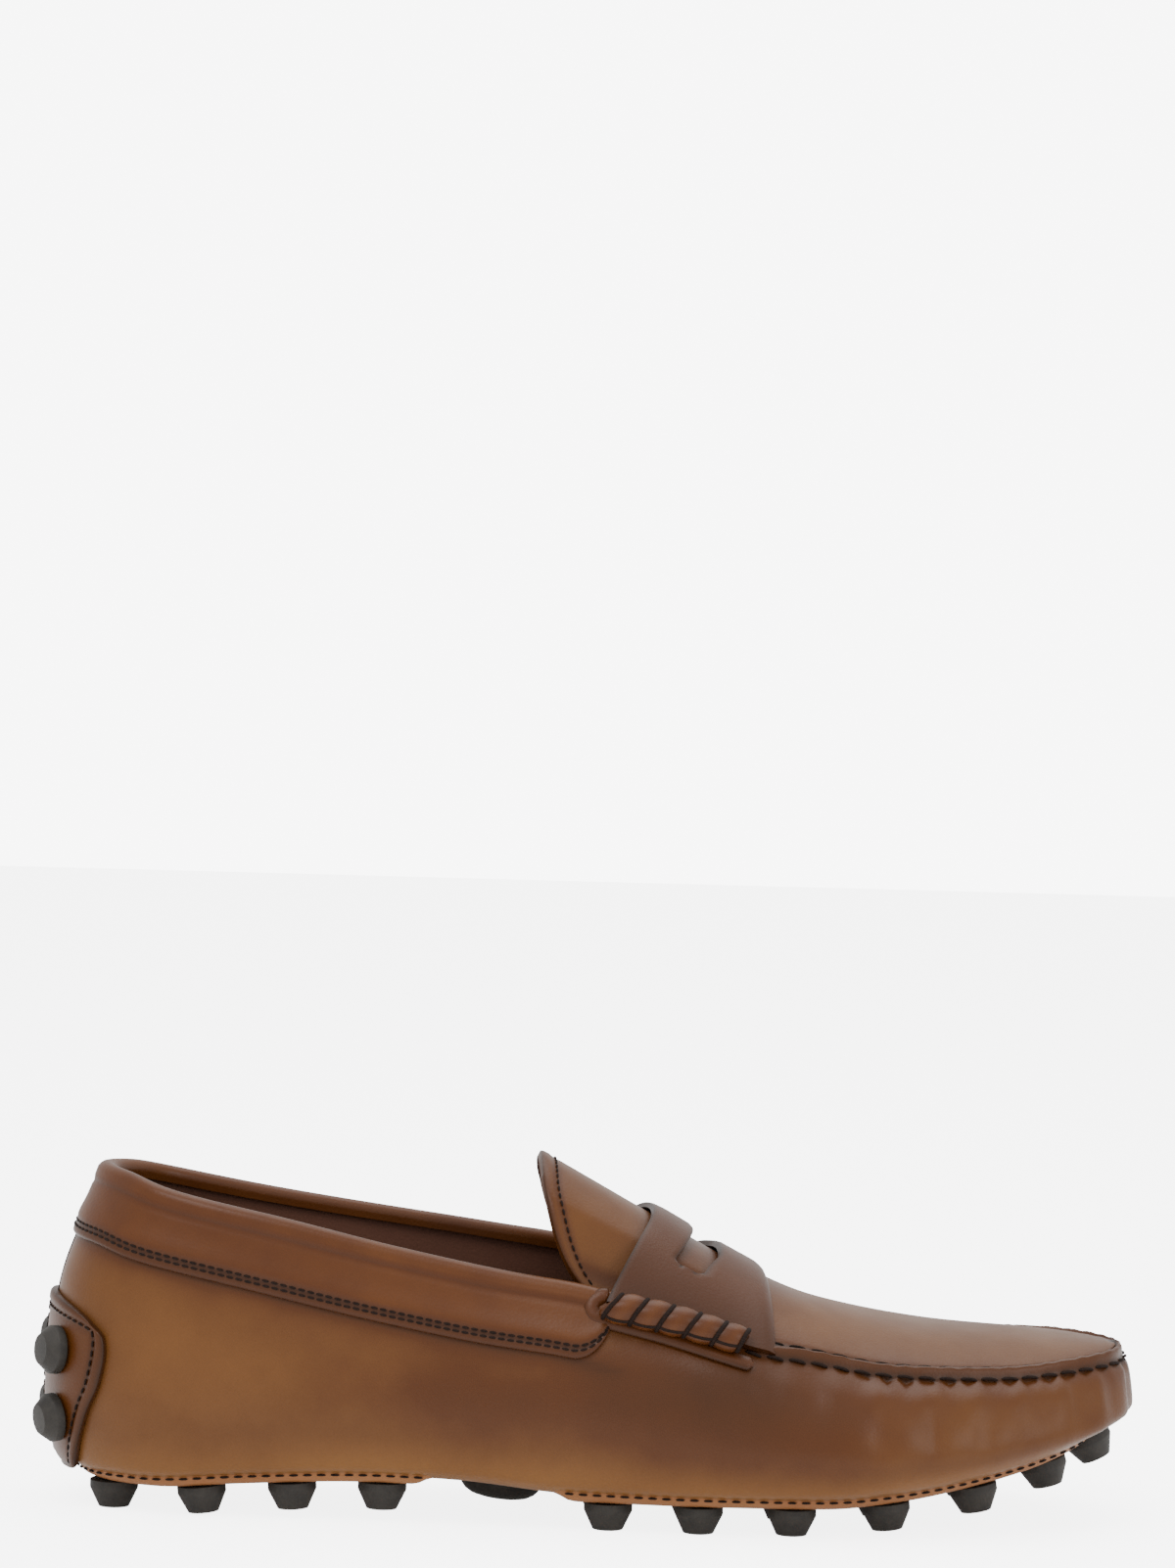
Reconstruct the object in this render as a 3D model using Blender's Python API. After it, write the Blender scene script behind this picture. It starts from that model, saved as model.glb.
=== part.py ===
"""Driving moccasin, right foot: leather upper sewn moccasin fashion, saddle strap, rubber studs.

The shoe points along +X, its lateral side faces -Y, and it stands on its studs at z = 0.
Every piece of leather is cut from one surface, the skin of the shoe, or from the instep over it.
"""
import bmesh
import bpy
import math
import numpy as np
from mathutils import Matrix

# Driving sizes in metres
LENGTH = 0.2905
BALL_WIDTH = 0.102
HEEL_HEIGHT = 0.081
SEAM_HEIGHT = 0.034
INSTEP_HEIGHT = 0.071
TOE_SPRING = 0.017
ARCH_RISE = 0.0032
WALL = 0.0020
CLEARANCE = 0.0003

SOLE_THICKNESS = 0.0016
INSOLE_THICKNESS = 0.0028
BAND_HEIGHT = 0.0180
BAND_FOLD = 0.0060
BAND_THICKNESS = 0.0012
PATCH_HEIGHT = 0.0507
PATCH_THICKNESS = 0.0015
RIDGE_HEIGHT = 0.0022
TONGUE_THICKNESS = 0.0020
TONGUE_TUCK = 0.0030
STRAP_THICKNESS = 0.0018
SLOT_LENGTH = 0.0430
ROLL_RADIUS = 0.0034
ROLL_PUFFS = 6

STUD_HEIGHT = 0.0072
STUD_BASE_RADIUS = 0.0066
STUD_FACE_RADIUS = 0.0039
STUD_BAND = 0.0022
BACK_STUD_HEIGHT = 0.0050
BACK_STUD_APART = 0.0190
HEEL_ARC = 0.131
DISC_RADIUS = 0.0110
DISC_THICKNESS = 0.0050

HALF_STEPS = 31
STUD_SIDES = 12

# Height of the upper's underside over the floor: studs, sole patch and their two clearances
UNDERSIDE = STUD_HEIGHT + SOLE_THICKNESS + 2 * CLEARANCE

# Rings of the skin, from the flat tread up to the edge: parameter v, where the heel and the toe
# of the ring lie along the length, and the ring's width over the widest one's
RINGS = {
    "spine": dict(v=0.00, heel=0.100, toe=0.880, width=0.00),
    "tread": dict(v=0.27, heel=0.042, toe=0.930, width=0.76),
    "feather": dict(v=0.40, heel=0.012, toe=0.977, width=0.945),
    "widest": dict(v=0.60, heel=0.000, toe=1.000, width=1.00),
    "shoulder": dict(v=0.79, heel=0.005, toe=0.996, width=0.00),
    "edge": dict(v=1.00, heel=0.045, toe=0.984, width=0.00),
}

# Underside along the length: share of the arch rise and of the toe spring
BOTTOM = [
    # length, arch, spring
    (0.00, 0.00, 0.000),
    (0.10, 0.00, 0.000),
    (0.17, 0.50, 0.000),
    (0.29, 1.00, 0.000),
    (0.37, 0.80, 0.000),
    (0.48, 0.00, 0.000),
    (0.70, 0.00, 0.000),
    (0.76, 0.00, 0.080),
    (0.83, 0.00, 0.270),
    (0.90, 0.00, 0.530),
    (0.96, 0.00, 0.850),
    (1.00, 0.00, 1.100),
]

# Widest ring: half widths over the ball width, and height over the seam height
WIDEST = [
    # share, lateral, medial, height
    (0.000, 0.000, 0.000, 0.60),
    (0.030, 0.225, 0.220, 0.60),
    (0.100, 0.325, 0.318, 0.60),
    (0.200, 0.352, 0.328, 0.60),
    (0.350, 0.385, 0.325, 0.62),
    (0.500, 0.445, 0.368, 0.56),
    (0.620, 0.500, 0.430, 0.42),
    (0.720, 0.512, 0.486, 0.38),
    (0.820, 0.455, 0.470, 0.42),
    (0.900, 0.362, 0.415, 0.50),
    (0.960, 0.244, 0.318, 0.58),
    (0.985, 0.135, 0.220, 0.63),
    (1.000, -0.045, 0.045, 0.66),
]

# Shoulder ring, between the widest ring and the edge
SHOULDER = [
    # share, lateral, medial, height over the heel's, height over the seam's
    (0.000, 0.000, 0.000, 0.560, 0.00),
    (0.030, 0.210, 0.205, 0.555, 0.00),
    (0.100, 0.305, 0.298, 0.540, 0.00),
    (0.200, 0.336, 0.312, 0.500, 0.00),
    (0.350, 0.368, 0.310, 0.460, 0.00),
    (0.500, 0.425, 0.350, 0.400, 0.06),
    (0.620, 0.460, 0.400, 0.080, 0.78),
    (0.720, 0.458, 0.430, 0.000, 0.84),
    (0.820, 0.400, 0.410, 0.000, 0.80),
    (0.900, 0.322, 0.370, 0.000, 0.82),
    (0.960, 0.212, 0.282, 0.000, 0.88),
    (0.985, 0.115, 0.198, 0.000, 0.92),
    (1.000, -0.045, 0.045, 0.000, 0.94),
]

# Edge of the body leather: the collar behind, the apron seam in front
EDGE = [
    # share, lateral, medial, lateral over the heel's, over the seam's, medial over the same two
    (0.000, 0.000, 0.000, 1.000, 0.00, 1.000, 0.00),
    (0.020, 0.135, 0.135, 0.985, 0.00, 0.988, 0.00),
    (0.060, 0.232, 0.230, 0.935, 0.00, 0.950, 0.00),
    (0.168, 0.288, 0.278, 0.845, 0.00, 0.865, 0.00),
    (0.278, 0.306, 0.285, 0.762, 0.00, 0.810, 0.00),
    (0.388, 0.328, 0.292, 0.692, 0.00, 0.758, 0.00),
    (0.480, 0.352, 0.308, 0.644, 0.00, 0.705, 0.00),
    (0.545, 0.366, 0.326, 0.395, 0.47, 0.435, 0.47),
    (0.645, 0.372, 0.345, 0.000, 1.14, 0.000, 1.22),
    (0.758, 0.345, 0.346, 0.000, 1.00, 0.000, 1.10),
    (0.868, 0.278, 0.316, 0.000, 0.97, 0.000, 1.07),
    (0.945, 0.194, 0.262, 0.000, 1.02, 0.000, 1.08),
    (0.985, 0.098, 0.172, 0.000, 1.05, 0.000, 1.07),
    (1.000, -0.045, 0.045, 0.000, 1.06, 0.000, 1.06),
]

# Line along the middle of the instep: height over the instep's
INSTEP = [
    # length, height
    (0.430, 1.250),
    (0.541, 1.000),
    (0.647, 0.765),
    (0.692, 0.690),
    (0.729, 0.652),
    (0.781, 0.612),
    (0.822, 0.590),
    (0.908, 0.565),
    (0.952, 0.550),
    (0.984, 0.536),
]

# Places along the length
THROAT = 0.622
STRAP_FRONT = 0.650
STRAP_REAR_TOP = 0.543
STRAP_REAR_SIDE = 0.500
TONGUE_TIP = 0.443
TONGUE_SIDE = 0.486
TONGUE_REACH = 0.860
SLOT_REAR = 0.573
SLOT_FRONT = 0.603
ROLL_REAR = 0.482
ROLL_FRONT = 0.620
BAND_END = 0.470
HEEL_SOLE_END = 0.345
FORE_SOLE_START = 0.465
DISC_PLACE = 0.415
# Rows of studs: share of the length, studs in the row
HEEL_ROWS = ((0.060, 2), (0.139, 3), (0.221, 3), (0.303, 3))
FORE_ROWS = ((0.506, 3), (0.587, 4), (0.671, 4), (0.756, 4), (0.838, 3), (0.908, 2))

SOLE_EDGE = 0.345
SOLE_EDGE_TOE = 0.390
TOE_STUD_LEVEL = 0.335
PATCH_LOW = 0.368
PATCH_TOP_PER_METRE = 8.52


def clear_scene():
    for item in list(bpy.data.objects):
        bpy.data.objects.remove(item, do_unlink=True)


def curve(xs, ys, x, flat_ends=False):
    """Smooth curve through a table's points that never overshoots them."""
    xs, ys = np.asarray(xs, float), np.asarray(ys, float)
    h, d = np.diff(xs), np.diff(ys) / np.diff(xs)
    m = np.zeros(len(xs))
    for k in range(1, len(xs) - 1):
        if d[k - 1] * d[k] > 0:
            w1, w2 = 2 * h[k] + h[k - 1], h[k] + 2 * h[k - 1]
            m[k] = (w1 + w2) / (w1 / d[k - 1] + w2 / d[k])
    if not flat_ends:
        m[0], m[-1] = d[0], d[-1]
    x = np.clip(np.asarray(x, float), xs[0], xs[-1])
    k = np.clip(np.searchsorted(xs, x, side="right") - 1, 0, len(h) - 1)
    s = (x - xs[k]) / h[k]
    return (ys[k] * (1 + 2 * s) * (1 - s) ** 2 + ys[k + 1] * s * s * (3 - 2 * s)
            + h[k] * s * (1 - s) * (m[k] * (1 - s) - m[k + 1] * s))


def column(table, number):
    return [row[number] for row in table]


def turn_of(share):
    """Turn, 0 at the heel and 1 at the toe, at a share of a ring's length."""
    return np.arccos(1 - 2 * np.clip(share, 0, 1)) / math.pi


def by_turn(table, number, turn, flat_ends=False):
    return curve(turn_of(np.array(column(table, 0))), column(table, number), turn, flat_ends)


def underside(x):
    """Height of the upper's underside at x, measured from the heel."""
    share = np.asarray(x) / LENGTH
    lengths = column(BOTTOM, 0)
    arch = ARCH_RISE * curve(lengths, column(BOTTOM, 1), share)
    return UNDERSIDE + arch + TOE_SPRING * curve(lengths, column(BOTTOM, 2), share)


def ring_points(around):
    """Points of the six rings at one place around the shoe: 0 heel, 1 toe, back to 2 at the heel."""
    around = around % 2.0
    lateral = around <= 1.0
    turn = around if lateral else 2.0 - around
    share = (1 - math.cos(math.pi * turn)) / 2
    pick = 1 if lateral else 2
    sign = -1 if lateral else 1
    wide = by_turn(WIDEST, pick, turn)
    middle = (by_turn(WIDEST, 2, turn) - by_turn(WIDEST, 1, turn)) / 2
    halves = {name: middle * sign + (wide - middle * sign) * ring["width"] for name, ring in RINGS.items()}
    halves["shoulder"] = by_turn(SHOULDER, pick, turn)
    halves["edge"] = by_turn(EDGE, pick, turn)
    points = []
    for name, ring in RINGS.items():
        x = LENGTH * (ring["heel"] + (ring["toe"] - ring["heel"]) * share)
        low = float(underside(x))
        if name in ("spine", "tread"):
            z = low
        elif name == "feather":
            wide_z = UNDERSIDE + SEAM_HEIGHT * by_turn(WIDEST, 3, turn, True)
            rise = by_turn([(0, 0.16), (0.5, 0.19), (0.8, 0.28), (1, 0.30)], 1, turn, True)
            z = low + (max(wide_z, low) - low) * rise
        elif name == "widest":
            z = UNDERSIDE + SEAM_HEIGHT * by_turn(WIDEST, 3, turn, True)
        elif name == "shoulder":
            z = (UNDERSIDE + HEEL_HEIGHT * by_turn(SHOULDER, 3, turn, True)
                 + SEAM_HEIGHT * by_turn(SHOULDER, 4, turn, True))
        else:
            z = (UNDERSIDE + HEEL_HEIGHT * by_turn(EDGE, 1 + 2 * pick, turn, True)
                 + SEAM_HEIGHT * by_turn(EDGE, 2 + 2 * pick, turn, True))
        points.append((x, sign * BALL_WIDTH * float(halves[name]), float(z)))
    return points


def edge_turn(share):
    """Turn at which the edge ring passes a share of the shoe's length."""
    ring = RINGS["edge"]
    return float(turn_of((share - ring["heel"]) / (ring["toe"] - ring["heel"])))


def skin(around, v):
    """Point of the shoe's outer skin."""
    points = ring_points(around)
    vs = [ring["v"] for ring in RINGS.values()]
    return np.array([float(curve(vs, [p[axis] for p in points], v)) for axis in range(3)])


def skin_normal(around, v):
    """Outward direction of the skin; the tread is level from side to side."""
    if v <= RINGS["tread"]["v"]:
        x = skin(around, v)[0]
        slope = (underside(x + 0.001) - underside(x - 0.001)) / 0.002
        normal = np.array([slope, 0.0, -1.0])
        return normal / np.linalg.norm(normal)
    step = 0.004
    along = skin(around + step, v) - skin(around - step, v)
    up = skin(around, min(v + step, 1.0)) - skin(around, v - step)
    normal = np.cross(along, up)
    return normal / np.linalg.norm(normal)


def instep(x_share, q):
    """Point of the instep over the opening: q runs from -1 at the lateral edge to 1 at the medial."""
    turn = edge_turn(x_share)
    left, right = ring_points(turn)[-1], ring_points(2.0 - turn)[-1]
    mix = (q + 1) / 2
    base = np.array(left) * (1 - mix) + np.array(right) * mix
    mean = (left[2] + right[2]) / 2
    top = UNDERSIDE + INSTEP_HEIGHT * float(curve(column(INSTEP, 0), column(INSTEP, 1), x_share))
    base[2] += (top - mean) * (1 - abs(q) ** 2.2)
    return base


def instep_normal(x_share, q):
    step = 0.004
    along = instep(x_share + step, q) - instep(x_share - step, q)
    across = instep(x_share, q + step) - instep(x_share, q - step)
    normal = np.cross(along, across)
    return normal / np.linalg.norm(normal)


def material(name, colour, roughness):
    mat = bpy.data.materials.new(name)
    mat.use_nodes = True
    shader = mat.node_tree.nodes["Principled BSDF"]
    shader.inputs["Base Color"].default_value = (*colour, 1)
    shader.inputs["Roughness"].default_value = roughness
    shader.inputs["Metallic"].default_value = 0.0
    mat.diffuse_color = (*colour, 1)
    return mat


def add_mesh(name, points, faces, mat, smooth_angle=40):
    mesh = bpy.data.meshes.new(name)
    mesh.from_pydata([tuple(p) for p in points], [], faces)
    mesh.validate()
    shape = bmesh.new()
    shape.from_mesh(mesh)
    bmesh.ops.recalc_face_normals(shape, faces=shape.faces)
    shape.to_mesh(mesh)
    shape.free()
    mesh.shade_smooth()
    mesh.set_sharp_from_angle(angle=math.radians(smooth_angle))
    mesh.materials.append(mat)
    item = bpy.data.objects.new(name, mesh)
    bpy.context.scene.collection.objects.link(item)
    return item


def thicken(name, outer, inner, faces, mat):
    """Closed solid between two copies of one sheet, walled along the sheet's open edges."""
    count = len(outer)
    seen = {}
    for face in faces:
        for a, b in zip(face, face[1:] + face[:1]):
            seen[(a, b)] = True
    solid = [tuple(face) for face in faces]
    solid += [tuple(count + k for k in reversed(face)) for face in faces]
    for a, b in seen:
        if (b, a) not in seen:
            solid.append((b, a, count + a, count + b))
    return add_mesh(name, list(outer) + list(inner), solid, mat)


def grid_sheet(name, points, normals, low, high, mat, holes=()):
    """Thickened sheet from rows of points whose normals point out."""
    rows, cols = len(points), len(points[0])
    flat = [p for row in points for p in row]
    norms = [n for row in normals for n in row]
    faces = []
    for r in range(rows - 1):
        for c in range(cols - 1):
            if (r, c) not in holes:
                faces.append([r * cols + c, r * cols + c + 1, (r + 1) * cols + c + 1, (r + 1) * cols + c])
    outer = [p + n * high for p, n in zip(flat, norms)]
    inner = [p + n * low for p, n in zip(flat, norms)]
    return thicken(name, outer, inner, faces, mat)


def even_turns(steps):
    """Places from heel to toe that divide the widest ring's lateral side into even lengths."""
    fine = np.linspace(0, 1, 241)
    line = np.array([ring_points(t)[3] for t in fine])
    run = np.concatenate([[0], np.cumsum(np.linalg.norm(np.diff(line, axis=0), axis=1))])
    turns = np.interp(np.linspace(0, run[-1], steps + 1), run, fine)
    for place in (BAND_END, THROAT):
        turns[np.argmin(np.abs(turns - edge_turn(place)))] = edge_turn(place)
    return turns


TURNS = None


def ring_ids(count):
    """Numbering of a bowl of rings whose first ring is folded on the spine."""
    around = 2 * count

    def number(i, j):
        i = i % around
        if j == 0:
            return min(i, around - i)
        return count + 1 + (j - 1) * around + i
    return number


def around_values():
    turns = list(TURNS)
    return turns + [2.0 - t for t in turns[-2:0:-1]]


def build_upper(mat):
    """Body and apron in one hollow piece, with the sewn seam as a raised ridge in its wall."""
    values = around_values()
    half = HALF_STEPS
    number = ring_ids(half)
    levels = [0.0, 0.15, 0.27, 0.33, 0.39, 0.46, 0.53, 0.60, 0.68, 0.76, 0.85, 0.94, 1.0]
    base, normals = {}, {}
    for j, v in enumerate(levels):
        for i, around in enumerate(values):
            key = number(i, j)
            if key not in base:
                base[key] = skin(around, v)
                normals[key] = skin_normal(around, v)
    faces = []
    for j in range(len(levels) - 1):
        for i in range(2 * half):
            faces.append([number(i, j), number(i + 1, j), number(i + 1, j + 1), number(i, j + 1)])
    top = len(levels) - 1
    ring = RINGS["edge"]
    first = int(np.argmin(np.abs(TURNS - edge_turn(THROAT))))
    across = [-0.93, -0.72, -0.4, 0.0, 0.4, 0.72, 0.93]
    next_key = max(base) + 1
    cell = {}
    for i in range(first, half):
        share = ring["heel"] + (ring["toe"] - ring["heel"]) * (1 - math.cos(math.pi * TURNS[i])) / 2
        cell[(i, 0)] = number(i, top)
        for c, q in enumerate(across):
            base[next_key] = instep(share, q)
            normals[next_key] = instep_normal(share, q)
            cell[(i, c + 1)] = next_key
            next_key += 1
        cell[(i, len(across) + 1)] = number(2 * half - i, top)
    last = len(across) + 1
    for i in range(first, half - 1):
        for c in range(last):
            faces.append([cell[(i, c)], cell[(i + 1, c)], cell[(i + 1, c + 1)], cell[(i, c + 1)]])
    tip = number(half, top)
    for c in range(last):
        faces.append([cell[(half - 1, c)], tip, cell[(half - 1, c + 1)]])
    order = sorted(base)
    index = {key: k for k, key in enumerate(order)}
    outer, inner = [], []
    for key in order:
        inner.append(base[key] - normals[key] * WALL)
        outer.append(base[key].copy())
    for i in range(2 * half):
        turn = values[i] if i <= half else 2.0 - values[i]
        share = (1 - math.cos(math.pi * turn)) / 2
        grow = float(curve([0.66, 0.72], [0.0, 1.0], share, True))
        key = number(i, top)
        rise = np.array([0.0, 0.0, 1.0]) + normals[key]
        outer[index[key]] += rise / np.linalg.norm(rise) * RIDGE_HEIGHT * grow
    sheet = [[index[k] for k in face] for face in faces]
    return thicken("upper", outer, inner, sheet, mat)


def bottom_sheet(name, keep, edge_level, low, high, mat, extra_levels=(0.15, 0.27)):
    """Sheet on the underside over the part of the rings that keep picks."""
    values = around_values()
    number = ring_ids(HALF_STEPS)
    points, normals, faces = {}, {}, []
    levels = [0.0, *extra_levels, None]
    for j in range(len(levels) - 1):
        for i in range(2 * HALF_STEPS):
            pair = (i, (i + 1) % (2 * HALF_STEPS))
            if not all(keep(values[k] if k <= HALF_STEPS else 2.0 - values[k]) for k in pair):
                continue
            corners = [(i, j), (i + 1, j), (i + 1, j + 1), (i, j + 1)]
            faces.append([number(*corner) for corner in corners])
            for a, b in corners:
                key = number(a, b)
                if key not in points:
                    around = values[a % (2 * HALF_STEPS)]
                    level = edge_level(1 - abs(1 - around)) if levels[b] is None else levels[b]
                    points[key] = skin(around, level)
                    normals[key] = skin_normal(around, level)
    order = sorted(points)
    index = {key: k for k, key in enumerate(order)}
    outer = [points[key] + normals[key] * high for key in order]
    inner = [points[key] + normals[key] * low for key in order]
    return thicken(name, outer, inner, [[index[k] for k in face] for face in faces], mat)


def sole_edge(turn):
    """Level of the sole patches' edge, which climbs the toe."""
    return float(curve([0.80, 0.97], [SOLE_EDGE, SOLE_EDGE_TOE], turn, True))


def build_band(mat):
    """Collar binding: sewn to the wall outside, folded over the edge and down inside."""
    end = edge_turn(BAND_END)
    inner_turns = [t for t in TURNS if t < end - 0.01]
    rows = [end] + inner_turns[::-1] + [-t for t in inner_turns[1:]] + [-end]
    low, high = CLEARANCE, CLEARANCE + BAND_THICKNESS
    section_rows = []
    for turn in rows:
        around = turn % 2.0
        wall_height = np.linalg.norm(skin(around, 1.0) - skin(around, 0.8)) / 0.2
        near_end = float(curve([0.0, 0.045], [0.45, 1.0], end - abs(turn), False))
        bottom = 1.0 - BAND_HEIGHT * near_end / wall_height
        fold = 1.0 - BAND_FOLD * near_end / wall_height
        edge = skin(around, 1.0)
        normal = skin_normal(around, 1.0)
        up = edge - skin(around, 0.97)
        up = up / np.linalg.norm(up)
        levels = [bottom, (bottom * 2 + 1) / 3, (bottom + 2) / 3, 1.0]
        outside = [(skin(around, v), skin_normal(around, v)) for v in levels]
        inside = [(skin(around, v), skin_normal(around, v)) for v in (1.0, fold)]
        loop = [p + n * high for p, n in outside]
        loop += [edge + up * high - normal * WALL / 2]
        loop += [p - n * (WALL + high) for p, n in inside]
        loop += [p - n * (WALL + low) for p, n in reversed(inside)]
        loop += [edge + up * low - normal * WALL / 2]
        loop += [p + n * low for p, n in reversed(outside)]
        section_rows.append(loop)
    return sweep("collar_band", section_rows, mat)


def sweep(name, loops, mat):
    """Closed solid through a row of closed sections, with flat ends."""
    size = len(loops[0])
    points = [p for loop in loops for p in loop]
    faces = []
    for r in range(len(loops) - 1):
        for c in range(size):
            d = (c + 1) % size
            faces.append((r * size + c, r * size + d, (r + 1) * size + d, (r + 1) * size + c))
    final = (len(loops) - 1) * size
    faces.append(tuple(reversed(range(size))))
    faces.append(tuple(final + k for k in range(size)))
    item = add_mesh(name, points, faces, mat)
    return item


def patch_half(rise):
    """Half width of the heel patch along the widest ring at a share of its height."""
    return float(curve([0, 0.33, 0.54, 0.69, 0.87, 1.0],
                       [0.016, 0.030, 0.040, 0.048, 0.052, 0.050], rise))


def build_heel_patch(mat):
    top = PATCH_LOW + PATCH_HEIGHT * PATCH_TOP_PER_METRE
    rows = [0.0, 0.08, 0.22, 0.4, 0.6, 0.78, 0.92, 1.0]
    cols = [math.sin(math.pi / 2 * k / 8) for k in range(-8, 9)]
    points, normals = [], []
    for rise in rows:
        half = float(turn_of(patch_half(rise)))
        line, out = [], []
        for c in cols:
            lift = rise * (1 - 0.07 * abs(c) ** 2) + 0.05 * (1 - rise) * abs(c) ** 4
            v = PATCH_LOW + (top - PATCH_LOW) * lift
            around = (-c * half) % 2.0
            line.append(skin(around, v))
            out.append(skin_normal(around, v))
        points.append(line)
        normals.append(out)
    return grid_sheet("heel_patch", points, normals, CLEARANCE, CLEARANCE + PATCH_THICKNESS, mat)


def build_tongue(mat):
    """Arched flap under the strap, rising to a rounded tip behind it."""
    rows = 11
    cols = [TONGUE_REACH * c for c in (-1.0, -0.93, -0.82, -0.64, -0.44, -0.22, 0.0,
                                       0.22, 0.44, 0.64, 0.82, 0.93, 1.0)]
    front = THROAT - 0.006
    points, normals = [], []
    for r in range(rows):
        line, out = [], []
        for q in cols:
            rear = TONGUE_TIP + (TONGUE_SIDE - TONGUE_TIP) * abs(q / TONGUE_REACH) ** 7
            share = front + (rear - front) * r / (rows - 1)
            tuck = float(curve([0.55, TONGUE_REACH], [0.0, 1.0], abs(q), True))
            side = math.copysign(1.0, q)
            sink = instep(share, TONGUE_REACH * side)[2] - instep(share, side)[2] + TONGUE_TUCK
            line.append(instep(share, q) - np.array([0.0, 0.0, tuck * sink]))
            out.append(instep_normal(share, q))
        points.append(line)
        normals.append(out)
    flipped = [row[::-1] for row in points], [row[::-1] for row in normals]
    top = -CLEARANCE
    return grid_sheet("tongue", flipped[0], flipped[1], top - TONGUE_THICKNESS, top, mat)


def build_strap(mat):
    """Saddle strap over the instep with the cut slot across its middle."""
    slot = SLOT_LENGTH / (0.72 * BALL_WIDTH)
    cols = [-0.92, -0.8, -slot, -slot * 0.93, -slot * 0.6, -slot * 0.2, 0.0,
            slot * 0.2, slot * 0.6, slot * 0.93, slot, 0.8, 0.92]
    points, normals = [], []
    for r in range(6):
        line, out = [], []
        for q in cols:
            rear = STRAP_REAR_TOP + (STRAP_REAR_SIDE - STRAP_REAR_TOP) * abs(q) ** 2
            notch = max(0.0, 1 - abs(q) / slot)
            middle = (SLOT_REAR + SLOT_FRONT) / 2
            near = middle - 0.30 * (SLOT_FRONT - SLOT_REAR)
            far = middle + (0.30 + 0.25 * min(1, notch * 1.6)) * (SLOT_FRONT - SLOT_REAR)
            shares = [rear, (rear + near) / 2, near, far, (far + STRAP_FRONT) / 2, STRAP_FRONT]
            line.append(instep(shares[r], q))
            out.append(instep_normal(shares[r], q))
        points.append(line)
        normals.append(out)
    holes = {(2, c) for c in range(2, 10)}
    seat = 2 * CLEARANCE
    return grid_sheet("saddle_strap", points, normals, seat, seat + STRAP_THICKNESS, mat, holes)


def build_roll(name, side, mat):
    """Puffed roll of leather over the strap's end, drawn in by its whipping."""
    steps = ROLL_PUFFS * 4
    loops = []
    for k in range(steps + 1):
        run = k / steps
        share = ROLL_REAR + (ROLL_FRONT - ROLL_REAR) * run
        turn = edge_turn(share)
        around = turn if side < 0 else 2.0 - turn
        point, normal = skin(around, 1.0), skin_normal(around, 1.0)
        ahead = skin(around + 0.01, 1.0) - skin(around - 0.01, 1.0)
        ahead = ahead / np.linalg.norm(ahead)
        up = np.cross(normal, ahead)
        up = up / np.linalg.norm(up) * (1 if np.cross(normal, ahead)[2] > 0 else -1)
        puff = 1 - 0.10 * (1 + math.cos(2 * math.pi * run * ROLL_PUFFS)) / 2
        end = math.sqrt(max(0.0, 1 - abs(2 * run - 1) ** 10)) * 0.75 + 0.25
        radius = ROLL_RADIUS * puff * end
        centre = point + normal * (ROLL_RADIUS + 3 * CLEARANCE) - up * 0.0012
        sides = 10
        loop = []
        for s in range(sides):
            angle = 2 * math.pi * s / sides
            loop.append(centre + (normal * math.cos(angle) + up * math.sin(angle)) * radius)
        if np.dot(np.cross(normal, up), ahead) < 0:
            loop.reverse()
        loops.append(loop)
    return sweep(name, loops if side < 0 else loops[::-1], mat)


def build_stud(name, seat, out, height, mat):
    """Round rubber stud: a short upright band, then a taper to its face."""
    out = out / np.linalg.norm(out)
    side = np.cross(out, np.array([0.0, 1.0, 0.0]))
    side = side / np.linalg.norm(side)
    other = np.cross(out, side)
    loops = []
    for level, radius in ((0.0, STUD_BASE_RADIUS), (STUD_BAND, STUD_BASE_RADIUS),
                          (height, STUD_FACE_RADIUS)):
        loops.append([seat + out * level
                      + (side * math.cos(a) + other * math.sin(a)) * radius
                      for a in [2 * math.pi * (s + 0.5) / STUD_SIDES for s in range(STUD_SIDES)]])
    return sweep(name, loops, mat)


def stud_columns(x, count):
    """Places across the tread for a row of studs at x, kept inside the sole's edge."""
    ring = RINGS["tread"]
    share = (x / LENGTH - ring["heel"]) / (ring["toe"] - ring["heel"])
    turn = float(turn_of(share))
    low = ring_points(turn)[1][1] + STUD_BASE_RADIUS * 0.62
    high = ring_points(2.0 - turn)[1][1] - STUD_BASE_RADIUS * 0.62
    return np.linspace(low, high, count)


def toe_stud_seat():
    """Seat and direction of the stud under the toe's tip."""
    normal = skin_normal(1.0, TOE_STUD_LEVEL)
    return skin(1.0, TOE_STUD_LEVEL) + normal * (SOLE_THICKNESS + 3 * CLEARANCE), normal


def build_studs(mat):
    drop = SOLE_THICKNESS + 2 * CLEARANCE
    for area, rows in (("heel", HEEL_ROWS), ("fore", FORE_ROWS)):
        for r, (share, count) in enumerate(rows, 1):
            x = LENGTH * share
            slope = float(underside(x + 0.004) - underside(x - 0.004)) / 0.008
            out = np.array([slope, 0.0, -1.0]) / math.hypot(slope, 1.0)
            for c, y in enumerate(stud_columns(x, count), 1):
                seat = np.array([x, y, float(underside(x))]) + out * drop
                build_stud(f"stud_{area}_{r}_{c}", seat, out, STUD_HEIGHT, mat)
    build_stud("stud_toe", *toe_stud_seat(), STUD_HEIGHT, mat)


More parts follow.
